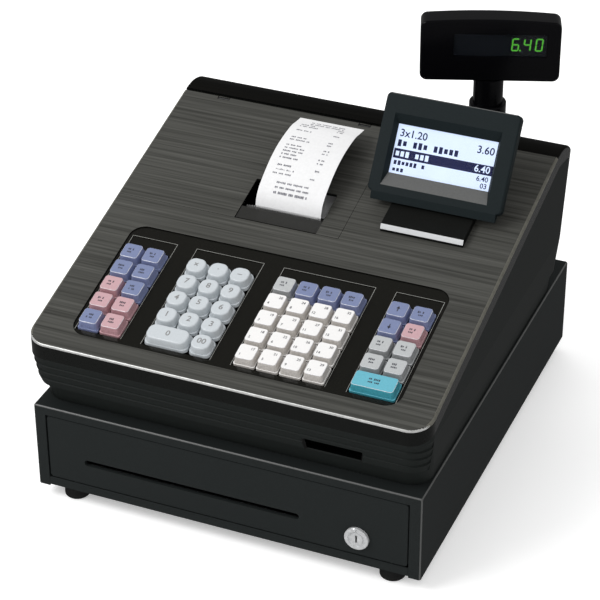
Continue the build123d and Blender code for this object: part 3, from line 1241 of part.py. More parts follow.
with BuildPart() as digit_panel:
    add(pod_block(DIGITS_W + 6, DIGITS_H + 4, -3, POD_D / 2 - 4, DIGITS_X, DIGITS_Y - 0.5))
digit_panel.part.label = "digit_panel"
export_step(digit_panel.part, "parts/digit_panel.step")

# ---------------------------------------------------------------- electronics and power cord
MAIN_X0 = -150.0
MAIN_X1 = 60.0
MAIN_Y0 = -145.0
MAIN_Y1 = -28.0
MAIN_Z = FLOOR_Z + 9
SUPPLY_X = (80.0, 140.0)
SUPPLY_Y = (55.0, 125.0)

with BuildPart() as main_board:
    add(block(MAIN_X0, MAIN_X1, MAIN_Y0, MAIN_Y1, MAIN_Z, MAIN_Z + 1.6))
    for x in (MAIN_X0 + 8, MAIN_X1 - 8):
        for y in (MAIN_Y0 + 8, MAIN_Y1 - 8):
            add(rod(Plane((x, y, FLOOR_Z + 0.1)), 3, MAIN_Z - FLOOR_Z))
    # processor, memory, driver chips, capacitors and connectors
    add(block(-40, -12, -100, -72, MAIN_Z + 1, MAIN_Z + 4))
    for chip in range(4):
        add(block(-110 + 18 * chip, -100 + 18 * chip, -60, -44, MAIN_Z + 1, MAIN_Z + 4))
    for can in range(5):
        add(rod(Plane((5 + 11 * can, -42, MAIN_Z + 1)), 4, 12))
    for plug in range(3):
        add(block(-130 + 50 * plug, -100 + 50 * plug, -138, -130, MAIN_Z + 1, MAIN_Z + 9))
main_board.part.label = "main_board"
export_step(main_board.part, "parts/main_board.step")

with BuildPart() as power_supply:
    add(block(*SUPPLY_X, *SUPPLY_Y, FLOOR_Z + 0.1, FLOOR_Z + 6))
    core_y = sum(SUPPLY_Y) / 2
    core_x = sum(SUPPLY_X) / 2
    add(block(core_x - 26, core_x + 26, core_y - 12, core_y + 12, FLOOR_Z + 5, FLOOR_Z + 44))
    add(block(core_x - 17, core_x + 17, core_y - 26, core_y + 26, FLOOR_Z + 11, FLOOR_Z + 38))
power_supply.part.label = "power_supply"
export_step(power_supply.part, "parts/power_supply.step")

CORD_OUT_Y = back_at(CORD_Z)
PLUG_W = 26.0
PLUG_H = 18.0
PLUG_Y = -CASE_FRONT - PLUG_W / 2  # the plug lies on the cabinet, as far back as the case stands forward
PLUG_Z = CAB_TOP + PLUG_H / 2 + 0.3

with BuildPart() as power_cord:
    with BuildLine():
        start = (CORD_X, CORD_OUT_Y - 12, CORD_Z)
        out = (CORD_X, CORD_OUT_Y + 8, CORD_Z)
        behind = (CORD_X + 18, PLUG_Y - 1, CORD_Z - 4)
        end = (CORD_X + 60, PLUG_Y, PLUG_Z)
        path = Spline(start, out, behind, end, tangents=[(0, 1, 0), (1, 0, 0)])
    with BuildSketch(Plane(origin=path @ 0, z_dir=path % 0)):
        Circle(CORD_R)
    sweep(path=path)
    # strain relief in the case, and a plain mains plug laid on the cabinet behind it
    add(rod(Plane((CORD_X, CORD_OUT_Y - 9, CORD_Z), x_dir=(1, 0, 0), z_dir=(0, 1, 0)), CORD_R + 1.3, 16))
    add(rod(Plane((CORD_X, CORD_OUT_Y - 9, CORD_Z), x_dir=(1, 0, 0), z_dir=(0, 1, 0)), CORD_R + 3.5, 3))
    with BuildSketch(Plane((end[0] - 2, PLUG_Y, PLUG_Z), x_dir=(0, 1, 0), z_dir=(1, 0, 0))):
        RectangleRounded(22, 17, 5)
    with BuildSketch(Plane((end[0] + 30, PLUG_Y, PLUG_Z), x_dir=(0, 1, 0), z_dir=(1, 0, 0))):
        RectangleRounded(PLUG_W, PLUG_H, 6)
    loft()
    for y in (PLUG_Y - 6.4, PLUG_Y + 6.4):
        add(block(end[0] + 29, end[0] + 47, y - 0.8, y + 0.8, PLUG_Z - 3.2, PLUG_Z + 3.2))
power_cord.part.label = "power_cord"
export_step(power_cord.part, "parts/power_cord.step")

with BuildPart() as board_screws:
    for x, s in POST_PLACES:
        add(rod(panel_spot(x, s, BOARD_TOP_N - BOARD_T - 2), 2.8, 2))
        add(rod(panel_spot(x, s, BOARD_TOP_N - BOARD_T - 1), 1.2, 7.4))
board_screws.part.label = "board_screws"
export_step(board_screws.part, "parts/board_screws.step")
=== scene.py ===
"""Electronic cash register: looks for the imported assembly. Metres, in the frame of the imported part."""
import json
from math import cos, radians, sin

import bmesh
import bpy
from mathutils import Matrix, Vector


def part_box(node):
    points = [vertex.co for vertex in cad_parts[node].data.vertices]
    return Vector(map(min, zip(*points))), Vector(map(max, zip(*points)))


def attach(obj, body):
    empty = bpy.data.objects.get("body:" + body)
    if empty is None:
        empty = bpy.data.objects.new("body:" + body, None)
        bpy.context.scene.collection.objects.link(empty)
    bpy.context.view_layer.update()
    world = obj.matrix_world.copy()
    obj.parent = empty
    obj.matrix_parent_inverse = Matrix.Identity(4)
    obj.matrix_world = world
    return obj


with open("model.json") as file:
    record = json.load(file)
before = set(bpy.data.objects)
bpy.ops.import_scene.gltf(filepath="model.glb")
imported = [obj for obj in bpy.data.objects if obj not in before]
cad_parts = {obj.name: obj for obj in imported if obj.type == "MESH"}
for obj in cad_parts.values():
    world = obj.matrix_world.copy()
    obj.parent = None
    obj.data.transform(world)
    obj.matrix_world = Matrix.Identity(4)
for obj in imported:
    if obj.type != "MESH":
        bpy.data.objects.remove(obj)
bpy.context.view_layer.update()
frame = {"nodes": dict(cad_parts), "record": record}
record = frame["record"]
nodes = frame["nodes"]
joints = {joint["name"]: joint for joint in record["behaviour"]["joints"]}
MM = 0.001  # a millimetre, in metres

# ---------------------------------------------------------------- axes of the sloping panel
PRESS = Vector(joints["number_press"]["axis"])
ABOVE = -PRESS  # straight up out of the panel
ACROSS = Vector((1, 0, 0))
UP_SLOPE = ABOVE.cross(ACROSS)


# ---------------------------------------------------------------- materials
def new_material(name):
    """An empty node material with a Principled surface; returns (material, nodes, links, surface)."""
    made = bpy.data.materials.new(name)
    made.use_nodes = True
    tree = made.node_tree
    return made, tree.nodes, tree.links, tree.nodes["Principled BSDF"]


def mapped_noise(tree_nodes, links, scale, detail=3.0, roughness=0.5):
    """Noise over object space, stretched by a scale along each axis."""
    where = tree_nodes.new("ShaderNodeTexCoord")
    mapping = tree_nodes.new("ShaderNodeMapping")
    mapping.inputs["Scale"].default_value = scale
    noise = tree_nodes.new("ShaderNodeTexNoise")
    noise.inputs["Scale"].default_value = 1.0
    noise.inputs["Detail"].default_value = detail
    noise.inputs["Roughness"].default_value = roughness
    links.new(where.outputs["Object"], mapping.inputs["Vector"])
    links.new(mapping.outputs["Vector"], noise.inputs["Vector"])
    return noise


def ramp_between(tree_nodes, links, source, low, high, start=0.35, end=0.65):
    """Colours between low and high, driven by a noise."""
    ramp = tree_nodes.new("ShaderNodeValToRGB")
    ramp.color_ramp.elements[0].position = start
    ramp.color_ramp.elements[0].color = (*low, 1)
    ramp.color_ramp.elements[1].position = end
    ramp.color_ramp.elements[1].color = (*high, 1)
    links.new(source, ramp.inputs["Fac"])
    return ramp


def add_bump(tree_nodes, links, surface, source, strength, distance):
    """A bump from a noise."""
    bump = tree_nodes.new("ShaderNodeBump")
    bump.inputs["Strength"].default_value = strength
    bump.inputs["Distance"].default_value = distance
    links.new(source, bump.inputs["Height"])
    links.new(bump.outputs["Normal"], surface.inputs["Normal"])


GRAIN_DEPTH = 0.1 * MM
STREAK_DEPTH = 0.08 * MM
COAT_ROUGHNESS = 0.08


def grained(name, colour, rough, grain=0.12, scale=900, strength=0.1, metallic=0.0, coat=0.0, shine=0.5):
    """A moulded or painted surface: a colour that varies a little, with a fine grain."""
    made, tree_nodes, links, surface = new_material(name)
    noise = mapped_noise(tree_nodes, links, (scale, scale, scale))
    low = [c * (1 - grain) for c in colour]
    high = [min(1.0, c * (1 + grain)) for c in colour]
    ramp = ramp_between(tree_nodes, links, noise.outputs["Fac"], low, high)
    links.new(ramp.outputs["Color"], surface.inputs["Base Color"])
    surface.inputs["Roughness"].default_value = rough
    surface.inputs["Metallic"].default_value = metallic
    surface.inputs["Specular IOR Level"].default_value = shine
    surface.inputs["Coat Weight"].default_value = coat
    surface.inputs["Coat Roughness"].default_value = COAT_ROUGHNESS
    add_bump(tree_nodes, links, surface, noise.outputs["Fac"], strength, GRAIN_DEPTH)
    return made


def brushed(name, low, high, rough, scale, metallic=0.0, strength=0.15, shine=0.5):
    """Streaked metal or film; scale is small along the streaks and large across them."""
    made, tree_nodes, links, surface = new_material(name)
    broad = mapped_noise(tree_nodes, links, scale, detail=4.0, roughness=0.6)
    ramp = ramp_between(tree_nodes, links, broad.outputs["Fac"], low, high, start=0.3, end=0.7)
    fine = mapped_noise(tree_nodes, links, [s * 4 for s in scale], detail=2.0)
    links.new(ramp.outputs["Color"], surface.inputs["Base Color"])
    spread = tree_nodes.new("ShaderNodeMapRange")
    spread.inputs["To Min"].default_value = rough - 0.08
    spread.inputs["To Max"].default_value = rough + 0.1
    links.new(fine.outputs["Fac"], spread.inputs["Value"])
    links.new(spread.outputs["Result"], surface.inputs["Roughness"])
    surface.inputs["Metallic"].default_value = metallic
    surface.inputs["Specular IOR Level"].default_value = shine
    add_bump(tree_nodes, links, surface, fine.outputs["Fac"], strength, STREAK_DEPTH)
    return made


def glowing(name, colour, strength):
    """A lit digit or backlight, slightly uneven."""
    made, tree_nodes, links, surface = new_material(name)
    noise = mapped_noise(tree_nodes, links, (60, 60, 60))
    ramp = ramp_between(tree_nodes, links, noise.outputs["Fac"], [c * 0.94 for c in colour], colour)
    links.new(ramp.outputs["Color"], surface.inputs["Emission Color"])
    surface.inputs["Base Color"].default_value = (*[c * 0.3 for c in colour], 1)
    surface.inputs["Emission Strength"].default_value = strength
    surface.inputs["Roughness"].default_value = 0.4
    return made


def clear(name, colour, rough, alpha):
    """A thin window: mostly see-through, with a reflection."""
    made, tree_nodes, links, surface = new_material(name)
    noise = mapped_noise(tree_nodes, links, (40, 40, 40))
    ramp = ramp_between(tree_nodes, links, noise.outputs["Fac"], [c * 0.97 for c in colour], colour)
    links.new(ramp.outputs["Color"], surface.inputs["Base Color"])
    surface.inputs["Roughness"].default_value = rough
    surface.inputs["Alpha"].default_value = alpha
    return made


MATERIALS = {
    "cabinet_paint": grained("cabinet_paint", (0.0155, 0.018, 0.018), 0.5, scale=1500, strength=0.2,
                             shine=0.05),
    "cabinet_edge_highlight": grained("cabinet_edge_highlight", (0.075, 0.077, 0.075), 0.35, scale=1500, strength=0.1),
    "steel_plate": brushed("steel_plate", (0.42, 0.43, 0.44), (0.6, 0.61, 0.62), 0.35, (20, 300, 300),
                           metallic=1.0),
    "foot_rubber": grained("foot_rubber", (0.010, 0.010, 0.010), 0.75, scale=600, strength=0.3, shine=0.1),
    "screw_steel": brushed("screw_steel", (0.45, 0.45, 0.45), (0.65, 0.65, 0.65), 0.3, (400, 400, 40),
                           metallic=1.0),
    "nylon": grained("nylon", (0.72, 0.71, 0.66), 0.5),
    "lock_chrome": brushed("lock_chrome", (0.62, 0.63, 0.64), (0.85, 0.86, 0.87), 0.2, (300, 300, 300),
                           metallic=0.5, strength=0.03),
    "keyway_shade": grained("keyway_shade", (0.02, 0.02, 0.02), 0.6),
    "tray_plastic": grained("tray_plastic", (0.03, 0.031, 0.033), 0.5, scale=1200, strength=0.25),
    "clip_steel": brushed("clip_steel", (0.4, 0.41, 0.42), (0.62, 0.63, 0.64), 0.3, (300, 20, 300),
                          metallic=1.0),
    "spring_steel": brushed("spring_steel", (0.35, 0.35, 0.35), (0.55, 0.55, 0.55), 0.35, (300, 300, 300),
                            metallic=1.0),
    "solenoid_parts": grained("solenoid_parts", (0.32, 0.22, 0.12), 0.45, metallic=0.4),
    "case_plastic": grained("case_plastic", (0.0125, 0.0145, 0.0138), 0.45, scale=1600, strength=0.12,
                            shine=0.05),
    "recess_shade": grained("recess_shade", (0.006, 0.006, 0.006), 0.5),
    "brushed_film": brushed("brushed_film", (0.03, 0.03, 0.0265), (0.085, 0.085, 0.077), 0.45,
                            (5, 420, 420), shine=0.15),
    "gloss_black": grained("gloss_black", (0.006, 0.0065, 0.006), 0.22, strength=0.0, shine=0.15),
    "front_rim_highlight": grained("front_rim_highlight", (0.48, 0.48, 0.47), 0.3, metallic=0.3, scale=300, strength=0.05),
    "hood_film": brushed("hood_film", (0.003, 0.003, 0.0027), (0.006, 0.0058, 0.005), 0.5, (5, 420, 420),
                         shine=0.03),
    "side_rim_highlight": grained("side_rim_highlight", (0.17, 0.165, 0.14), 0.35, metallic=0.5, scale=300, strength=0.05),
    "deck_plastic": grained("deck_plastic", (0.0072, 0.007, 0.0055), 0.16, strength=0.0, shine=0.2),
    "deck_line": grained("deck_line", (0.3, 0.3, 0.28), 0.4),
    "circuit_board": grained("circuit_board", (0.03, 0.16, 0.06), 0.4, scale=200),
    "supply_parts": grained("supply_parts", (0.2, 0.19, 0.17), 0.5, metallic=0.3),
    "cord_black": grained("cord_black", (0.012, 0.012, 0.012), 0.45),
    "printer_plastic": grained("printer_plastic", (0.018, 0.018, 0.016), 0.4),
    "head_aluminium": brushed("head_aluminium", (0.5, 0.5, 0.5), (0.7, 0.7, 0.7), 0.35, (20, 400, 400),
                              metallic=1.0),
    "cutter_steel": brushed("cutter_steel", (0.55, 0.55, 0.55), (0.8, 0.8, 0.8), 0.25, (20, 500, 500),
                            metallic=1.0),
    "platen_rubber": grained("platen_rubber", (0.025, 0.025, 0.025), 0.7),
    "gear_plastic": grained("gear_plastic", (0.68, 0.68, 0.62), 0.45),
    "motor_steel": brushed("motor_steel", (0.4, 0.4, 0.4), (0.6, 0.6, 0.6), 0.3, (40, 400, 400),
                           metallic=1.0),
    "paper": grained("paper", (0.76, 0.76, 0.765), 0.7, grain=0.02, scale=400, strength=0.05),
    "print_grey": grained("print_grey", (0.16, 0.16, 0.19), 0.7, grain=0.3),
    "neck_plastic": grained("neck_plastic", (0.007, 0.0074, 0.0068), 0.4, strength=0.05, shine=0.08),
    "neck_band": brushed("neck_band", (0.56, 0.57, 0.58), (0.72, 0.73, 0.74), 0.35, (10, 600, 600)),
    "pole_plastic": grained("pole_plastic", (0.0018, 0.0018, 0.0024), 0.2, strength=0.0, shine=0.15),
    "display_plastic": grained("display_plastic", (0.0105, 0.0155, 0.017), 0.48, scale=1400, strength=0.15,
                               shine=0.08),
    "display_sill_highlight": grained("display_sill_highlight", (0.105, 0.107, 0.105), 0.4, scale=1400),
    "clear_window": clear("clear_window", (0.15, 0.16, 0.17), 0.05, 0.06),
    "lcd": glowing("lcd", (0.60, 0.71, 0.95), 1.15),
    "lcd_ink": grained("lcd_ink", (0.006, 0.009, 0.07), 0.6, shine=0.05),
    "lcd_frame": grained("lcd_frame", (0.03, 0.03, 0.03), 0.5),
    "dark_window": clear("dark_window", (0.01, 0.012, 0.016), 0.06, 0.35),
    "digit_board": grained("digit_board", (0.004, 0.006, 0.007), 0.4),
    "digit_green": glowing("digit_green", (0.12, 0.62, 0.05), 1.4),
    "key_blue": grained("key_blue", (0.175, 0.21, 0.355), 0.25, grain=0.04, coat=0.5, strength=0.0),
    "key_pink": grained("key_pink", (0.52, 0.325, 0.35), 0.25, grain=0.04, coat=0.5, strength=0.0),
    "key_number": grained("key_number", (0.515, 0.55, 0.575), 0.38, grain=0.03, coat=0.2, strength=0.05),
    "key_grey": grained("key_grey", (0.44, 0.455, 0.46), 0.25, grain=0.04, coat=0.5, strength=0.0),
    "key_white": grained("key_white", (0.80, 0.79, 0.78), 0.22, grain=0.02, coat=0.5, strength=0.0),
    "key_cyan": grained("key_cyan", (0.125, 0.42, 0.52), 0.22, grain=0.04, coat=0.5, strength=0.0),
    # copies of the key colours for the sides of the clear caps, mostly darker: painted shade of the thick
    # clear sides
    "key_side_blue": grained("key_side_blue", (0.19, 0.22, 0.38), 0.2, coat=0.6, strength=0.0),
    "key_side_pink": grained("key_side_pink", (0.46, 0.26, 0.285), 0.2, coat=0.6, strength=0.0),
    "key_side_grey": grained("key_side_grey", (0.30, 0.31, 0.315), 0.2, coat=0.6, strength=0.0),
    "key_side_white": grained("key_side_white", (0.56, 0.53, 0.50), 0.2, coat=0.6, strength=0.0),
    "key_side_cyan": grained("key_side_cyan", (0.05, 0.29, 0.36), 0.2, coat=0.6, strength=0.0),
    "cap_edge_highlight": grained("cap_edge_highlight", (0.72, 0.73, 0.76), 0.2, coat=0.6, strength=0.0),
    "legend_ink": grained("legend_ink", (0.035, 0.035, 0.05), 0.6, grain=0.2),
    "legend_soft": grained("legend_soft", (0.22, 0.22, 0.22), 0.6, grain=0.2),
}
slot_of = {part["node"]: part["material_slot"] for part in record["subparts"]}


def paint(node, *extra):
    """Gives a CAD node the material of its slot, then any extra ones for faces picked out later."""
    obj = nodes[node]
    obj.data.materials.clear()
    for name in (slot_of[node], *extra):
        obj.data.materials.append(MATERIALS[name])
    return obj


def paint_faces(obj, index, wanted):
    """Gives the faces that wanted(centre, normal) picks another of the node's materials."""
    for face in obj.data.polygons:
        if wanted(face.center, face.normal):
            face.material_index = index


for name in nodes:
    paint(name)
    nodes[name].data.shade_smooth()
    nodes[name].data.set_sharp_from_angle(angle=radians(28))

# ---------------------------------------------------------------- finding places on the frame
def solid_boxes(node):
    """The extent of each solid of a node across, up the slope and above the panel, as (low, high) pairs."""
    mesh = nodes[node].data
    home = {}
    spot = {}
    for vertex in mesh.vertices:
        place = tuple(round(c, 6) for c in vertex.co)
        home[vertex.index] = spot.setdefault(place, vertex.index)
    parent = {index: index for index in set(home.values())}

    def root(index):
        while parent[index] != index:
            parent[index] = parent[parent[index]]
            index = parent[index]
        return index

    for face in mesh.polygons:
        first = root(home[face.vertices[0]])
        for vertex in face.vertices[1:]:
            parent[root(home[vertex])] = first
    groups = {}
    for vertex in mesh.vertices:
        groups.setdefault(root(home[vertex.index]), []).append(vertex.co)
    boxes = []
    for points in groups.values():
        local = [Vector((p.dot(ACROSS), p.dot(UP_SLOPE), p.dot(ABOVE))) for p in points]
        boxes.append(tuple(Vector(pick(p[axis] for p in local) for axis in range(3)) for pick in (min, max)))
    return sorted(boxes, key=lambda box: (round(-box[0].y, 3), box[0].x))


def on_panel(across, up, above):
    """A point in the row frame from its place on the sloping panel."""
    return ACROSS * across + UP_SLOPE * up + ABOVE * above


class Board:
    """A flat place to draw on: an origin, a direction to the right, one upwards, and one out of it."""

    def __init__(self, origin, right, upward):
        self.origin = Vector(origin)
        self.right = Vector(right).normalized()
        self.upward = Vector(upward).normalized()
        self.out = self.right.cross(self.upward)

    def at(self, x, y, lift=0.0):
        return self.origin + self.right * x + self.upward * y + self.out * lift

    def matrix(self, x, y, lift):
        turn = Matrix((self.right, self.upward, self.out)).transposed().to_4x4()
        return Matrix.Translation(self.at(x, y, lift)) @ turn


def mesh_piece(name, corners, faces, material, body):
    """A mesh object that rides with a body."""
    mesh = bpy.data.meshes.new(name)
    mesh.from_pydata([tuple(c) for c in corners], [], faces)
    mesh.materials.append(MATERIALS[material])
    obj = bpy.data.objects.new(name, mesh)
    bpy.context.scene.collection.objects.link(obj)
    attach(obj, body)
    return obj


def patches(name, board, rectangles, lift, material, body):
    """Thin printed rectangles on a board, each (x0, y0, x1, y1) in metres."""
    corners = []
    faces = []
    for x0, y0, x1, y1 in rectangles:
        start = len(corners)
        corners += [board.at(x0, y0, lift), board.at(x1, y0, lift), board.at(x1, y1, lift),
                    board.at(x0, y1, lift)]
        faces.append((start, start + 1, start + 2, start + 3))
    return mesh_piece(name, corners, faces, material, body)


def figures(name, board, marks, lift, material, body):
    """Printed figures on a board: each mark is (text, x, y, height, align). All become one mesh."""
    whole = bmesh.new()
    for text, x, y, height, align in marks:
        curve = bpy.data.curves.new(name, "FONT")
        curve.body = text
        curve.size = height * 1.4
        curve.offset = height * 0.02  # slightly bolder strokes
        curve.align_x = align
        curve.align_y = "CENTER"
        curve.resolution_u = 3
        stamp = bpy.data.objects.new(name, curve)
        mesh = bpy.data.meshes.new_from_object(stamp)
        mesh.transform(board.matrix(x, y, lift))
        whole.from_mesh(mesh)
        bpy.data.objects.remove(stamp)
        bpy.data.meshes.remove(mesh)
        bpy.data.curves.remove(curve)
    mesh = bpy.data.meshes.new(name)
    whole.to_mesh(mesh)
    whole.free()
    mesh.materials.append(MATERIALS[material])
    obj = bpy.data.objects.new(name, mesh)
    bpy.context.scene.collection.objects.link(obj)
    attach(obj, body)
    return obj


def dashes(x0, x1, y, height, pitch, seed):
    """A line of print too small to read: short bars with gaps where words end."""
    bars = []
    count = int((x1 - x0) / pitch)
    for step in range(count):
        if (step * 7 + seed * 5) % 11 in (3, 8):
            continue
        tall = height * (0.7 + 0.3 * ((step * 5 + seed * 3) % 4) / 3)
        left = x0 + step * pitch
        bars.append((left, y - tall / 2, left + pitch * 0.68, y + tall / 2))
    return bars


# ---------------------------------------------------------------- case, panel and rim
panel_height = max(face.center.dot(ABOVE) for face in nodes["top_cover"].data.polygons
                   if face.normal.dot(ABOVE) > 0.9999)
lid_mesh = nodes["printer_lid"].data
crest_up = max(lid_mesh.vertices[index].co.dot(UP_SLOPE) for face in lid_mesh.polygons
               if face.normal.dot(ABOVE) > 0.9999 and abs(face.center.dot(ABOVE) - panel_height) < 0.2 * MM
               for index in face.vertices)
case_low, case_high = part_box("lower_case")

FILM_THICK = 0.1 * MM
RIM_DEEP = 2.1 * MM  # the eased edge of the panel, downwards
RIM_SIDE = 4 * MM  # and in from the side of the case
FRONT_BAND = 25 * MM


def on_rim(centre, normal):
    """The eased edge round the panel."""
    return 0.02 < normal.dot(ABOVE) < 0.995 and centre.dot(ABOVE) > panel_height - RIM_DEEP


for name in ("top_cover", "printer_lid"):
    cover = paint(name, "gloss_black", "front_rim_highlight", "side_rim_highlight", "hood_film")
    paint_faces(cover, 1, lambda centre, normal: centre.dot(ABOVE) < panel_height - FILM_THICK)
    paint_faces(cover, 4, lambda centre, normal: normal.z > 0.15 and centre.dot(UP_SLOPE) > crest_up)
    # partly the metal look of the eased edge, partly painted highlight: the front rim is painted light, the
    # side rims a duller grey
    paint_faces(cover, 2, lambda centre, normal: on_rim(centre, normal) and normal.y < -0.5
                and centre.y < case_low.y + FRONT_BAND)
    paint_faces(cover, 3, lambda centre, normal: on_rim(centre, normal) and normal.y >= -0.5
                and abs(centre.x) > case_high.x - RIM_SIDE and centre.dot(UP_SLOPE) < crest_up)

cabinet = paint("cabinet_cover", "cabinet_edge_highlight")
# painted highlight: the rounded edges of the cabinet are painted a lighter grey
paint_faces(cabinet, 1, lambda centre, normal: max(abs(part) for part in normal) < 0.93)

# painted shade: the inside of the recess for a memory card is painted near black
CARD_X = 91 * MM
CARD_HALF = 27.5 * MM
CARD_Z = (95 * MM, 124 * MM)
CARD_Y = (case_low.y + 1.5 * MM, case_low.y + 12 * MM)
lower = paint("lower_case", "recess_shade")
paint_faces(lower, 1, lambda centre, normal: abs(centre.x - CARD_X) < CARD_HALF and normal.z < 0.2
            and CARD_Y[0] < centre.y < CARD_Y[1] and CARD_Z[0] < centre.z < CARD_Z[1]
            and abs(normal.x) + abs(normal.z) > 0.5)

neck = paint("display_neck", "neck_band")
paint_faces(neck, 1, lambda centre, normal: 0.3 < normal.dot(ABOVE) < 0.8 and normal.dot(UP_SLOPE) < -0.5)

plug = paint("lock_plug", "keyway_shade")
plug_low, plug_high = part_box("lock_plug")
plug_middle = (plug_low + plug_high) / 2
KEYWAY_DEEP = 8 * MM
KEYWAY_R = 4.6 * MM
# painted shade: the inside of the keyway is painted near black
paint_faces(plug, 1, lambda centre, normal: abs(normal.y) < 0.2 and centre.y < plug_low.y + KEYWAY_DEEP
            and Vector((centre.x - plug_middle.x, centre.z - plug_middle.z)).length < KEYWAY_R)

# ---------------------------------------------------------------- keys
# the sides of the clear caps take copies of the key colours, mostly darker, as painted shade
KEY_LOOKS = {  # node: material of the sides of its clear caps
    "function_keys_blue": "key_side_blue",
    "function_keys_pink": "key_side_pink",
    "department_key_grey": "key_side_grey",
    "department_keys_blue": "key_side_blue",
    "department_keys_white": "key_side_white",
    "payment_keys_blue": "key_side_blue",
    "payment_key_pink": "key_side_pink",
    "payment_keys_grey": "key_side_grey",
    "total_key": "key_side_cyan",
}
LEGEND_LIFT = 0.06 * MM


def key_board(box):
    """The flat top of one key, as a board to draw on."""
    low, high = box
    return Board(on_panel((low.x + high.x) / 2, (low.y + high.y) / 2, high.z), ACROSS, UP_SLOPE)


for name, side in KEY_LOOKS.items():
    keys = paint(name, side, "cap_edge_highlight")
    paint_faces(keys, 1, lambda centre, normal: normal.dot(ABOVE) < 0.9)
    # painted highlight: the rounded band round each cap top is painted near white
    paint_faces(keys, 2, lambda centre, normal: 0.5 < normal.dot(ABOVE) < 0.85)

for name in ("function_keys_blue", "function_keys_pink", "department_key_grey", "department_keys_blue",
             "payment_keys_blue", "payment_key_pink", "payment_keys_grey", "total_key"):
    for number, box in enumerate(solid_boxes(name)):
        board = key_board(box)
        length = 3.2 * MM if name != "total_key" else 5 * MM
        arrows = {("payment_keys_blue", 0): 1, ("payment_keys_blue", 2): -1}
        way = arrows.get((name, number))
        if way:
            tip = [board.at(0, way * 3 * MM, LEGEND_LIFT),
                   board.at(-way * 1.6 * MM, way * 0.4 * MM, LEGEND_LIFT),
                   board.at(way * 1.6 * MM, way * 0.4 * MM, LEGEND_LIFT)]
            mesh_piece(f"{name}_arrow_{number}", tip, [(0, 1, 2)], "legend_ink", name)
            shaft = [(-0.4 * MM, -2.6 * MM, 0.4 * MM, 2.0 * MM)]
            patches(f"{name}_shaft_{number}", board, shaft, LEGEND_LIFT, "legend_ink", name)
        else:
            bars = dashes(-length, length, 1.5 * MM, 2.2 * MM, 1.3 * MM, number)
            bars += dashes(-length, length, -1.7 * MM, 1.8 * MM, 1.3 * MM, number + 4)
            patches(f"{name}_legend_{number}", board, bars, LEGEND_LIFT, "legend_ink", name)

NUMBER_LEGENDS = ["×", "·", "–", "7", "8", "9", "4", "5", "6", "1", "2", "3", "0", "00"]
for number, (text, box) in enumerate(zip(NUMBER_LEGENDS, solid_boxes("number_keys"))):
    marks = [(text, 0, 0.2 * MM, 5.4 * MM, "CENTER")]
    figures(f"number_keys_legend_{number}", key_board(box), marks, LEGEND_LIFT, "legend_soft",
            "number_keys")

department_boxes = solid_boxes("department_keys_white")
for number, box in enumerate(department_boxes):
    row, column = divmod(number, 4)
    first = 4 * column + 4 - row
    marks = [(str(first), -4.4 * MM, -3.6 * MM, 2.4 * MM, "CENTER"),
             (str(first + 16), 3.6 * MM, 3.6 * MM, 2.4 * MM, "CENTER")]
    figures(f"department_legend_{number}", key_board(box), marks, LEGEND_LIFT, "legend_ink",
            "department_keys_white")

# thin light lines printed round each bank of keys
BANK_NODES = [
    ("function_keys_blue", "function_keys_pink"),
    ("number_keys",),
    ("department_key_grey", "department_keys_blue", "department_keys_white"),
    ("payment_keys_blue", "payment_key_pink", "payment_keys_grey", "total_key"),
]
BANK_SIDE = 1.6 * MM  # room between the keys and the lines
BANK_BELOW = 1.2 * MM
BANK_ABOVE = 14.8 * MM
LINE_W = 0.35 * MM
deck_board = Board(on_panel(0, 0, panel_height - 1.0 * MM), ACROSS, UP_SLOPE)
for number, members in enumerate(BANK_NODES):
    boxes = [box for member in members for box in solid_boxes(member)]
    left = min(low.x for low, high in boxes) - BANK_SIDE
    right_edge = max(high.x for low, high in boxes) + BANK_SIDE
    bottom = min(low.y for low, high in boxes) - BANK_BELOW
    top = max(high.y for low, high in boxes) + BANK_ABOVE
    patches(f"deck_line_{number}", deck_board,
            [(left, bottom, left + LINE_W, top), (right_edge - LINE_W, bottom, right_edge, top),
             (left, top - LINE_W, right_edge, top)], 0.05 * MM, "deck_line", "register")

# ---------------------------------------------------------------- operator display
FACE_LEAN = radians(34.4)
FACE_OUT = Vector((0, -cos(FACE_LEAN), sin(FACE_LEAN)))
FACE_UP = FACE_OUT.cross(ACROSS)
bezel = paint("display_front", "display_sill_highlight")
bezel_middle = sum(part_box("display_front"), Vector()) / 2
bezel_face = max(vertex.co.dot(FACE_OUT) for vertex in nodes["display_front"].data.vertices)
SILL_DEPTHS = (0.2 * MM, 5.55 * MM)  # behind the face of the bezel
SILL_HALF = 47 * MM
# painted highlight: the upward sill inside the bezel is painted light grey
paint_faces(bezel, 1, lambda centre, normal: 0.05 < normal.dot(FACE_OUT) < 0.97 and normal.dot(FACE_UP) > 0.4
            and SILL_DEPTHS[0] < bezel_face - centre.dot(FACE_OUT) < SILL_DEPTHS[1]
            and abs(centre.x - bezel_middle.x) < SILL_HALF)

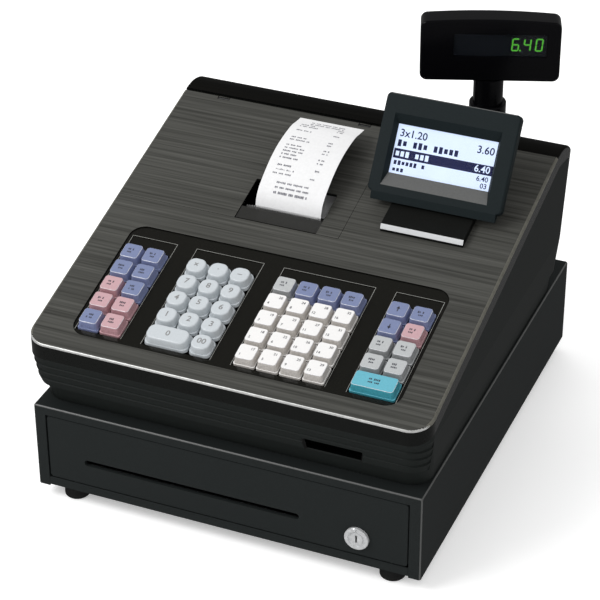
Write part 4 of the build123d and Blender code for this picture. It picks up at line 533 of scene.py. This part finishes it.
lcd = paint("lcd_panel", "lcd_frame")
paint_faces(lcd, 1, lambda centre, normal: normal.dot(FACE_OUT) < 0.9)
lcd_points = [vertex.co for vertex in nodes["lcd_panel"].data.vertices]
lcd_front = max(point.dot(FACE_OUT) for point in lcd_points)
lcd_heights = [point.dot(FACE_UP) for point in lcd_points]
lcd_middle = (min(lcd_heights) + max(lcd_heights)) / 2
lcd_low, lcd_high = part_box("lcd_panel")
lcd_across = (lcd_low.x + lcd_high.x) / 2
screen = Board(ACROSS * lcd_across + FACE_UP * lcd_middle + FACE_OUT * lcd_front, ACROSS, FACE_UP)
INK_LIFT = 0.08 * MM
SCREEN_HALF = 42.3 * MM
SCREEN_LEFT = -40.5 * MM
SCREEN_RIGHT = 40 * MM
figures("lcd_figures", screen,
        [("3x1.20", SCREEN_LEFT, 13.2 * MM, 6.2 * MM, "LEFT"),
         ("3.60", -SCREEN_LEFT, 11.6 * MM, 6.2 * MM, "RIGHT"),
         ("6.40", SCREEN_RIGHT, -11.3 * MM, 4.2 * MM, "RIGHT"),
         ("03", SCREEN_RIGHT, -16.8 * MM, 4.2 * MM, "RIGHT")],
        INK_LIFT, "lcd_ink", "operator_display")
patches("lcd_words", screen,
        dashes(SCREEN_LEFT, 16 * MM, 5 * MM, 5.6 * MM, 4.4 * MM, 1)
        + dashes(SCREEN_LEFT, -12 * MM, -11 * MM, 3.8 * MM, 3.4 * MM, 2)
        + dashes(SCREEN_LEFT, -30 * MM, -16.8 * MM, 3.4 * MM, 3.4 * MM, 4),
        INK_LIFT, "lcd_ink", "operator_display")
BAR_MIDDLE = -3.6 * MM
BAR_HALF = 4 * MM
patches("lcd_bar", screen, [(-SCREEN_HALF, BAR_MIDDLE - BAR_HALF, SCREEN_HALF, BAR_MIDDLE + BAR_HALF)],
        INK_LIFT, "lcd_ink", "operator_display")
patches("lcd_bar_words", screen, dashes(SCREEN_LEFT, -8 * MM, BAR_MIDDLE, 4.8 * MM, 4.2 * MM, 3),
        2 * INK_LIFT, "lcd", "operator_display")
figures("lcd_bar_figures", screen, [("6.40", SCREEN_RIGHT, BAR_MIDDLE, 5.6 * MM, "RIGHT")],
        2 * INK_LIFT, "lcd", "operator_display")

# ---------------------------------------------------------------- customer display
POD_TURN = radians(20)
POD_RIGHT = Vector((cos(POD_TURN), sin(POD_TURN), 0))
POD_OUT = POD_RIGHT.cross(Vector((0, 0, 1)))
digit_points = [vertex.co for vertex in nodes["digit_panel"].data.vertices]
digit_low, digit_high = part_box("digit_panel")
digit_middle = (digit_low + digit_high) / 2
digit_front = max(point.dot(POD_OUT) for point in digit_points)
digit_origin = digit_middle + POD_OUT * (digit_front - digit_middle.dot(POD_OUT))
digit_board = Board(digit_origin, POD_RIGHT, (0, 0, 1))
SEGMENTS = {"6": "afgecd", "4": "fgbc", "0": "abcdef"}


def segment_shape(letter, wide, tall, thick):
    """Corners of one bar of a seven-segment digit, lower left corner of the digit at the origin."""
    half = tall / 2
    bevel = thick / 2
    across = {"a": tall - bevel, "g": half, "d": bevel}
    if letter in across:
        y = across[letter]
        return [(bevel, y), (thick, y - bevel), (wide - thick, y - bevel), (wide - bevel, y),
                (wide - thick, y + bevel), (thick, y + bevel)]
    x = bevel if letter in "ef" else wide - bevel
    y0, y1 = (bevel, half) if letter in "ec" else (half, tall - bevel)
    return [(x, y0), (x + bevel, y0 + bevel), (x + bevel, y1 - bevel), (x, y1), (x - bevel, y1 - bevel),
            (x - bevel, y0 + bevel)]


def lit_digits(board, text, right_edge, bottom, wide, tall, thick, pitch, slant):
    """Seven-segment digits as one mesh; a full stop follows the digit before it."""
    corners = []
    faces = []
    x = right_edge - wide - pitch * (len(text.replace(".", "")) - 1)
    for mark in text:
        if mark == ".":
            dot_x = x - pitch + wide + thick * 0.3
            left = dot_x - x
            shapes = [[(left, 0), (left + thick, 0), (left + thick, thick), (left, thick)]]
        else:
            shapes = [segment_shape(letter, wide, tall, thick * 0.92) for letter in SEGMENTS[mark]]
        for shape in shapes:
            start = len(corners)
            corners += [board.at(x + a + slant * b, bottom + b, 0.1 * MM) for a, b in shape]
            faces.append(tuple(range(start, start + len(shape))))
        if mark != ".":
            x += pitch
    return mesh_piece("lit_digits", corners, faces, "digit_green", "customer_display")


lit_digits(digit_board, "6.40", right_edge=34.6 * MM, bottom=-6.1 * MM, wide=6.4 * MM, tall=11.8 * MM,
           thick=1.4 * MM, pitch=9.7 * MM, slant=0.09)

# ---------------------------------------------------------------- print on the receipt
receipt_low, receipt_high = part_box("receipt_paper")
paper_line = sorted({(round(vertex.co.y, 6), round(vertex.co.z, 6))
                     for vertex in nodes["receipt_paper"].data.vertices})


def paper_top(y):
    """Height of the upper side of the receipt at a depth."""
    near = [z for place, z in paper_line if abs(place - y) < 0.6 * MM]
    if near:
        return max(near)
    before = max((place, z) for place, z in paper_line if place < y)
    after = min((place, -z) for place, z in paper_line if place > y)
    share = (y - before[0]) / (after[0] - before[0])
    return before[1] + (-after[1] - before[1]) * share


LINES = 24
EMPTY_LINES = (3, 7, 13, 16, 17, 19)
HEADING_LINES = (0, 1, 2, 22, 23)
SHORT_LINES = (5, 10)


def receipt_print():
    """Lines of unreadable print down the receipt, following its curl."""
    rows = []
    half = 22 * MM
    length = receipt_high.y - receipt_low.y
    for number in range(LINES):
        if number in EMPTY_LINES:
            continue
        share = 0.06 + number * 0.038
        spans = [(-1, -0.35 + 0.1 * (number % 3)), (0.5, 0.8)]  # an item and its price
        if number in HEADING_LINES:
            spans = [(-0.7, 0.7)]
        if number in SHORT_LINES:
            spans = [(-1, -0.2)]
        for span in spans:
            rows.append((receipt_low.y + share * length, span[0] * half, span[1] * half, number))
    middle = (receipt_low.x + receipt_high.x) / 2
    corners = []
    faces = []
    for y, x0, x1, number in rows:
        for bar_x0, low_y, bar_x1, high_y in dashes(x0, x1, 0, 1.5 * MM, 1.35 * MM, number):
            start = len(corners)
            near = y + low_y
            far = y + high_y
            for x, place in ((bar_x0, near), (bar_x1, near), (bar_x1, far), (bar_x0, far)):
                corners.append((middle + x, place, paper_top(place) + 0.12 * MM))
            faces.append((start, start + 1, start + 2, start + 3))
    return mesh_piece("receipt_print", corners, faces, "print_grey", "printer_lid")


receipt_print()

# ---------------------------------------------------------------- ground, light and camera
floor_mesh = bpy.data.meshes.new("floor")
REACH = 30.0
floor_mesh.from_pydata([(-REACH, -REACH, 0), (REACH, -REACH, 0), (REACH, REACH, 0), (-REACH, REACH, 0)], [],
                       [(0, 1, 2, 3)])
floor = bpy.data.objects.new("floor", floor_mesh)
bpy.context.scene.collection.objects.link(floor)
floor_paper = grained("floor_paper", (0.93, 0.93, 0.93), 0.9, grain=0.01, scale=3, strength=0.0)
floor_surface = floor_paper.node_tree.nodes["Principled BSDF"]
floor_surface.inputs["Emission Color"].default_value = (1, 1, 1, 1)
floor_surface.inputs["Emission Strength"].default_value = 0.35  # lit a little from below, as a light table is
floor_mesh.materials.append(floor_paper)
floor.visible_glossy = False  # the dark sides reflect the dim room rather than the pale floor

world = bpy.data.worlds.new("studio")
bpy.context.scene.world = world
world.use_nodes = True
# soft light all round, but dim in reflections, as if dark cloths stood beside the camera
background = world.node_tree.nodes["Background"]
path = world.node_tree.nodes.new("ShaderNodeLightPath")
level = world.node_tree.nodes.new("ShaderNodeMapRange")
level.inputs["To Min"].default_value = 0.75
level.inputs["To Max"].default_value = 0.22
world.node_tree.links.new(path.outputs["Is Glossy Ray"], level.inputs["Value"])
world.node_tree.links.new(level.outputs["Result"], background.inputs["Strength"])
background.inputs["Color"].default_value = (1, 1, 1, 1)


def soft_box(name, place, target, width, height, power):
    """A rectangular studio light aimed at a point."""
    light = bpy.data.lights.new(name, "AREA")
    light.shape = "RECTANGLE"
    light.size = width
    light.size_y = height
    light.energy = power
    obj = bpy.data.objects.new(name, light)
    obj.location = place
    obj.rotation_euler = (Vector(target) - Vector(place)).to_track_quat("-Z", "Y").to_euler()
    bpy.context.scene.collection.objects.link(obj)
    return obj


soft_box("key_light", (-1.3, -1.2, 1.9), (0, 0, 0.1), 1.4, 1.0, 32)
soft_box("fill_light", (1.6, -1.4, 1.2), (0, 0, 0.1), 1.0, 1.0, 2)
back_light = soft_box("back_light", (-0.6, 1.5, 2.3), (0, 0, 0.2), 1.6, 0.8, 12)
back_light.visible_glossy = False  # it would glare in the sloping panel

CAMERA_PLACE = Vector((0.6150, -1.4912, 1.1473))
CAMERA_AZIMUTH = radians(22.796)
CAMERA_ELEVATION = radians(32.522)
CAMERA_ROLL = radians(-0.270)
CAMERA_LENS = 138.54  # millimetres, on a 36 mm sensor

camera_data = bpy.data.cameras.new("camera")
camera_data.sensor_width = 36.0
camera_data.lens = CAMERA_LENS
camera_data.clip_end = 100
camera = bpy.data.objects.new("camera", camera_data)
back = Vector((sin(CAMERA_AZIMUTH) * cos(CAMERA_ELEVATION), -cos(CAMERA_AZIMUTH) * cos(CAMERA_ELEVATION),
               sin(CAMERA_ELEVATION)))
right = Vector((cos(CAMERA_AZIMUTH), sin(CAMERA_AZIMUTH), 0))
upward = back.cross(right)
turned_right = cos(CAMERA_ROLL) * right + sin(CAMERA_ROLL) * upward
turned_up = cos(CAMERA_ROLL) * upward - sin(CAMERA_ROLL) * right
camera.matrix_world = (Matrix.Translation(CAMERA_PLACE)
                       @ Matrix((turned_right, turned_up, back)).transposed().to_4x4())
bpy.context.scene.collection.objects.link(camera)
bpy.context.scene.camera = camera
bpy.context.scene.view_settings.view_transform = "Standard"
